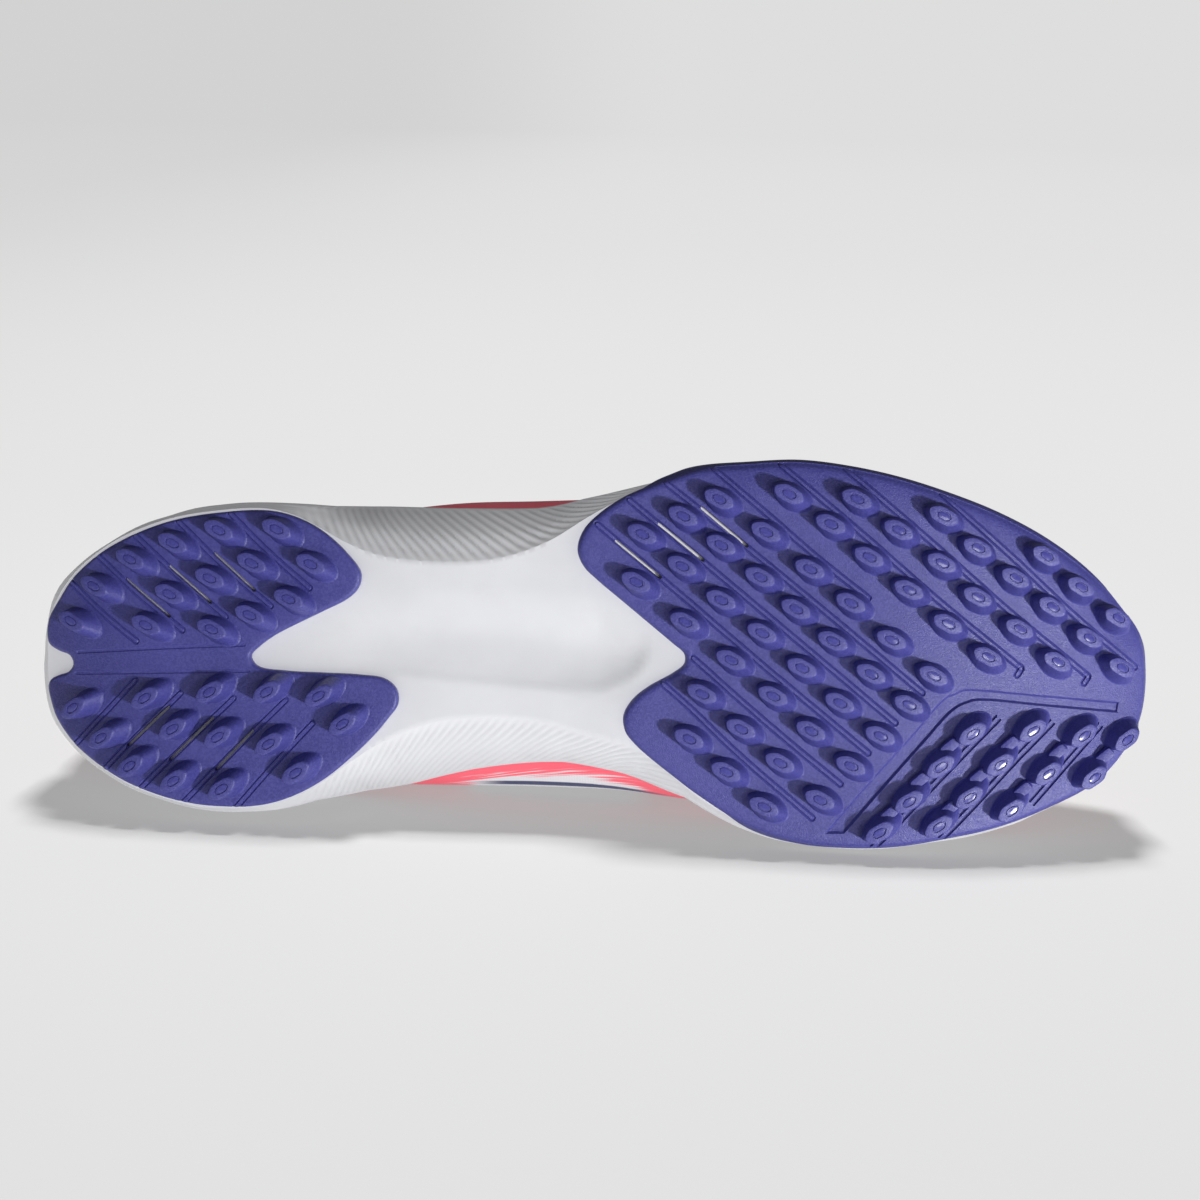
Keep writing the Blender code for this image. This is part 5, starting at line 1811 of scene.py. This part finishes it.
def floor():
    bm = bmesh.new()
    bmesh.ops.create_grid(bm, x_segments=8, y_segments=8, size=6.0)
    mesh = bpy.data.meshes.new("floor")
    bm.to_mesh(mesh)
    bm.free()
    obj = bpy.data.objects.new("floor", mesh)
    bpy.context.scene.collection.objects.link(obj)
    mat = bpy.data.materials.new("studio_floor")
    mat.use_nodes = True
    tree = mat.node_tree
    tree.nodes.clear()
    out = tree.nodes.new("ShaderNodeOutputMaterial")
    matt = tree.nodes.new("ShaderNodeBsdfDiffuse")
    matt.inputs["Color"].default_value = rgb(0.20, 0.20, 0.20)
    # painted light: near the shoe the floor glows evenly, on top of the light its lamp gives
    glow = tree.nodes.new("ShaderNodeEmission")
    glow.inputs["Color"].default_value = rgb(1, 1, 1)
    glow.inputs["Strength"].default_value = 0.345
    add = tree.nodes.new("ShaderNodeAddShader")
    far = tree.nodes.new("ShaderNodeEmission")
    far.inputs["Color"].default_value = rgb(1, 1, 1)
    far.inputs["Strength"].default_value = GREY
    mix = tree.nodes.new("ShaderNodeMixShader")
    coords = tree.nodes.new("ShaderNodeTexCoord")
    size = tree.nodes.new("ShaderNodeVectorMath")
    size.operation = 'LENGTH'
    apart = tree.nodes.new("ShaderNodeVectorMath")
    apart.operation = 'DISTANCE'
    apart.inputs[1].default_value = (0.0, -0.10, 0.0)
    # painted light falloff: further off the floor is only a glow, made darker with distance
    fade = shaded(tree, 'SMOOTHSTEP', ends=(0.20, 0.62, 0.0, 1.0))
    painted_falloff = shaded(tree, 'SMOOTHSTEP', ends=(0.4, 2.0, GREY, PAINTED_FALLOFF_GREY))
    painted_far_falloff = shaded(tree, 'LINEAR', ends=(2.0, 5.5, 0.0, PAINTED_FALLOFF_GREY - FAR))
    less = tree.nodes.new("ShaderNodeMath")
    less.operation = 'SUBTRACT'
    for a, b in ((coords.outputs["Object"], size.inputs[0]),
                 (coords.outputs["Object"], apart.inputs[0]),
                 (apart.outputs["Value"], fade.inputs["Value"]),
                 (fade.outputs[0], mix.inputs[0]),
                 (size.outputs["Value"], painted_falloff.inputs["Value"]),
                 (size.outputs["Value"], painted_far_falloff.inputs["Value"]),
                 (painted_falloff.outputs[0], less.inputs[0]), (painted_far_falloff.outputs[0], less.inputs[1]),
                 (side_fall(tree, coords, less.outputs[0]), far.inputs["Strength"]),
                 (matt.outputs[0], add.inputs[0]), (glow.outputs[0], add.inputs[1]),
                 (add.outputs[0], mix.inputs[1]), (far.outputs[0], mix.inputs[2]),
                 (mix.outputs[0], out.inputs[0])):
        tree.links.new(a, b)
    mesh.materials.append(mat)
    return obj


def backdrop():
    """A large shell behind everything, seen but not lighting anything; its glow is painted a little darker far over on
    the left.
    """
    bm = bmesh.new()
    bmesh.ops.create_icosphere(bm, subdivisions=4, radius=5.5)
    mesh = bpy.data.meshes.new("backdrop")
    bm.to_mesh(mesh)
    bm.free()
    obj = bpy.data.objects.new("backdrop", mesh)
    bpy.context.scene.collection.objects.link(obj)
    mat = bpy.data.materials.new("studio_air")
    mat.use_nodes = True
    tree = mat.node_tree
    tree.nodes.clear()
    out = tree.nodes.new("ShaderNodeOutputMaterial")
    glow = tree.nodes.new("ShaderNodeEmission")
    glow.inputs["Color"].default_value = rgb(1, 1, 1)
    coords = tree.nodes.new("ShaderNodeTexCoord")
    for a, b in ((side_fall(tree, coords, None), glow.inputs["Strength"]),
                 (glow.outputs[0], out.inputs[0])):
        tree.links.new(a, b)
    mesh.materials.append(mat)
    obj.visible_diffuse = False
    obj.visible_glossy = False
    obj.visible_shadow = False
    obj.visible_transmission = False
    return obj


ground = floor()
air = backdrop()

world = bpy.data.worlds.new("studio")
bpy.context.scene.world = world
world.use_nodes = True
back = world.node_tree.nodes["Background"]
back.inputs["Color"].default_value = (1.0, 1.0, 1.0, 1.0)
back.inputs["Strength"].default_value = 0.13

middle = REST @ (Vector((137.0, 0.0, 12.0)) * 0.001)
turn = REST.to_3x3()


def area_light(name, direction, distance, size, power, size_y=None):
    """A soft light in a direction given in the shoe's own axes."""
    data = bpy.data.lights.new(name, 'AREA')
    data.energy = power
    data.size = size
    if size_y:
        data.shape = 'RECTANGLE'
        data.size_y = size_y
    obj = bpy.data.objects.new(name, data)
    bpy.context.scene.collection.objects.link(obj)
    d = (turn @ Vector(direction)).normalized()
    obj.location = middle + d * distance
    obj.rotation_euler = (-d).to_track_quat('-Z', 'Y').to_euler()
    obj.visible_camera = False
    return obj




def takes(light, names, blockers=None):
    """The light falls on these pieces only, and only some pieces stop it."""
    for use, listed in (("receiver", names), ("blocker", blockers)):
        if listed:
            group = bpy.data.collections.new(light.name + "_" + use)
            for name in listed:
                group.objects.link(bpy.data.objects[name])
            setattr(light.light_linking, use + "_collection", group)
    return light


RUBBERS = ("forefoot_rubber", "heel_rubber")
SOFTS = ("midsole_foam", "upper_shell", "upper_stitching", "tongue_pad", "insole_bed",
         "lace_bands")
KEY_FROM = (0.58, 0.42, -0.70)
takes(area_light("key_rubber", (0.66, 0.31, -0.68), 0.90, 0.06, 6.5), RUBBERS, RUBBERS + SOFTS)
takes(area_light("key_soft", KEY_FROM, 0.75, 0.16, 2.9), SOFTS, SOFTS)
takes(area_light("key_upper", KEY_FROM, 0.75, 0.16, 1.6), ("upper_shell",), SOFTS)
takes(area_light("fill_soft", (-0.1, -0.1, -1.0), 0.9, 0.6, 2.0), SOFTS, SOFTS)
# a broad sheen over the toe end of the rubber
takes(area_light("sheen", (0.42, 0.15, -0.90), 0.76, 0.18, 0.85), RUBBERS)


def top_light(name, power, place, size):
    data = bpy.data.lights.new(name, 'AREA')
    data.energy = power
    data.size = size
    obj = bpy.data.objects.new(name, data)
    bpy.context.scene.collection.objects.link(obj)
    obj.location = place
    obj.rotation_euler = Vector(place).to_track_quat('Z', 'Y').to_euler()
    obj.visible_camera = False
    return obj


takes(top_light("top", 1.5, (-0.3, 0.1, 1.3), 0.9), SOFTS)
# the floor's own light stands a little behind the shoe
takes(top_light("floor_top", 43.9, (0.0, 0.25, 1.38), 0.25), ("floor",))

cam_data = bpy.data.cameras.new("camera")
cam_data.sensor_fit = 'HORIZONTAL'
cam_data.sensor_width = 36.0
cam_data.lens = _focal / 1200.0 * 36.0
cam_data.clip_start = 0.01
cam_data.clip_end = 50.0
camera = bpy.data.objects.new("camera", cam_data)
bpy.context.scene.collection.objects.link(camera)
axes = Matrix((_right, -_down, -_ahead)).transposed().to_4x4()
camera.matrix_world = REST @ Matrix.Translation(_eye * 0.001) @ axes
bpy.context.scene.camera = camera

scene = bpy.context.scene
scene.view_settings.view_transform = 'Standard'
scene.view_settings.look = 'None'
scene.view_settings.exposure = 0.0
scene.view_settings.gamma = 1.0
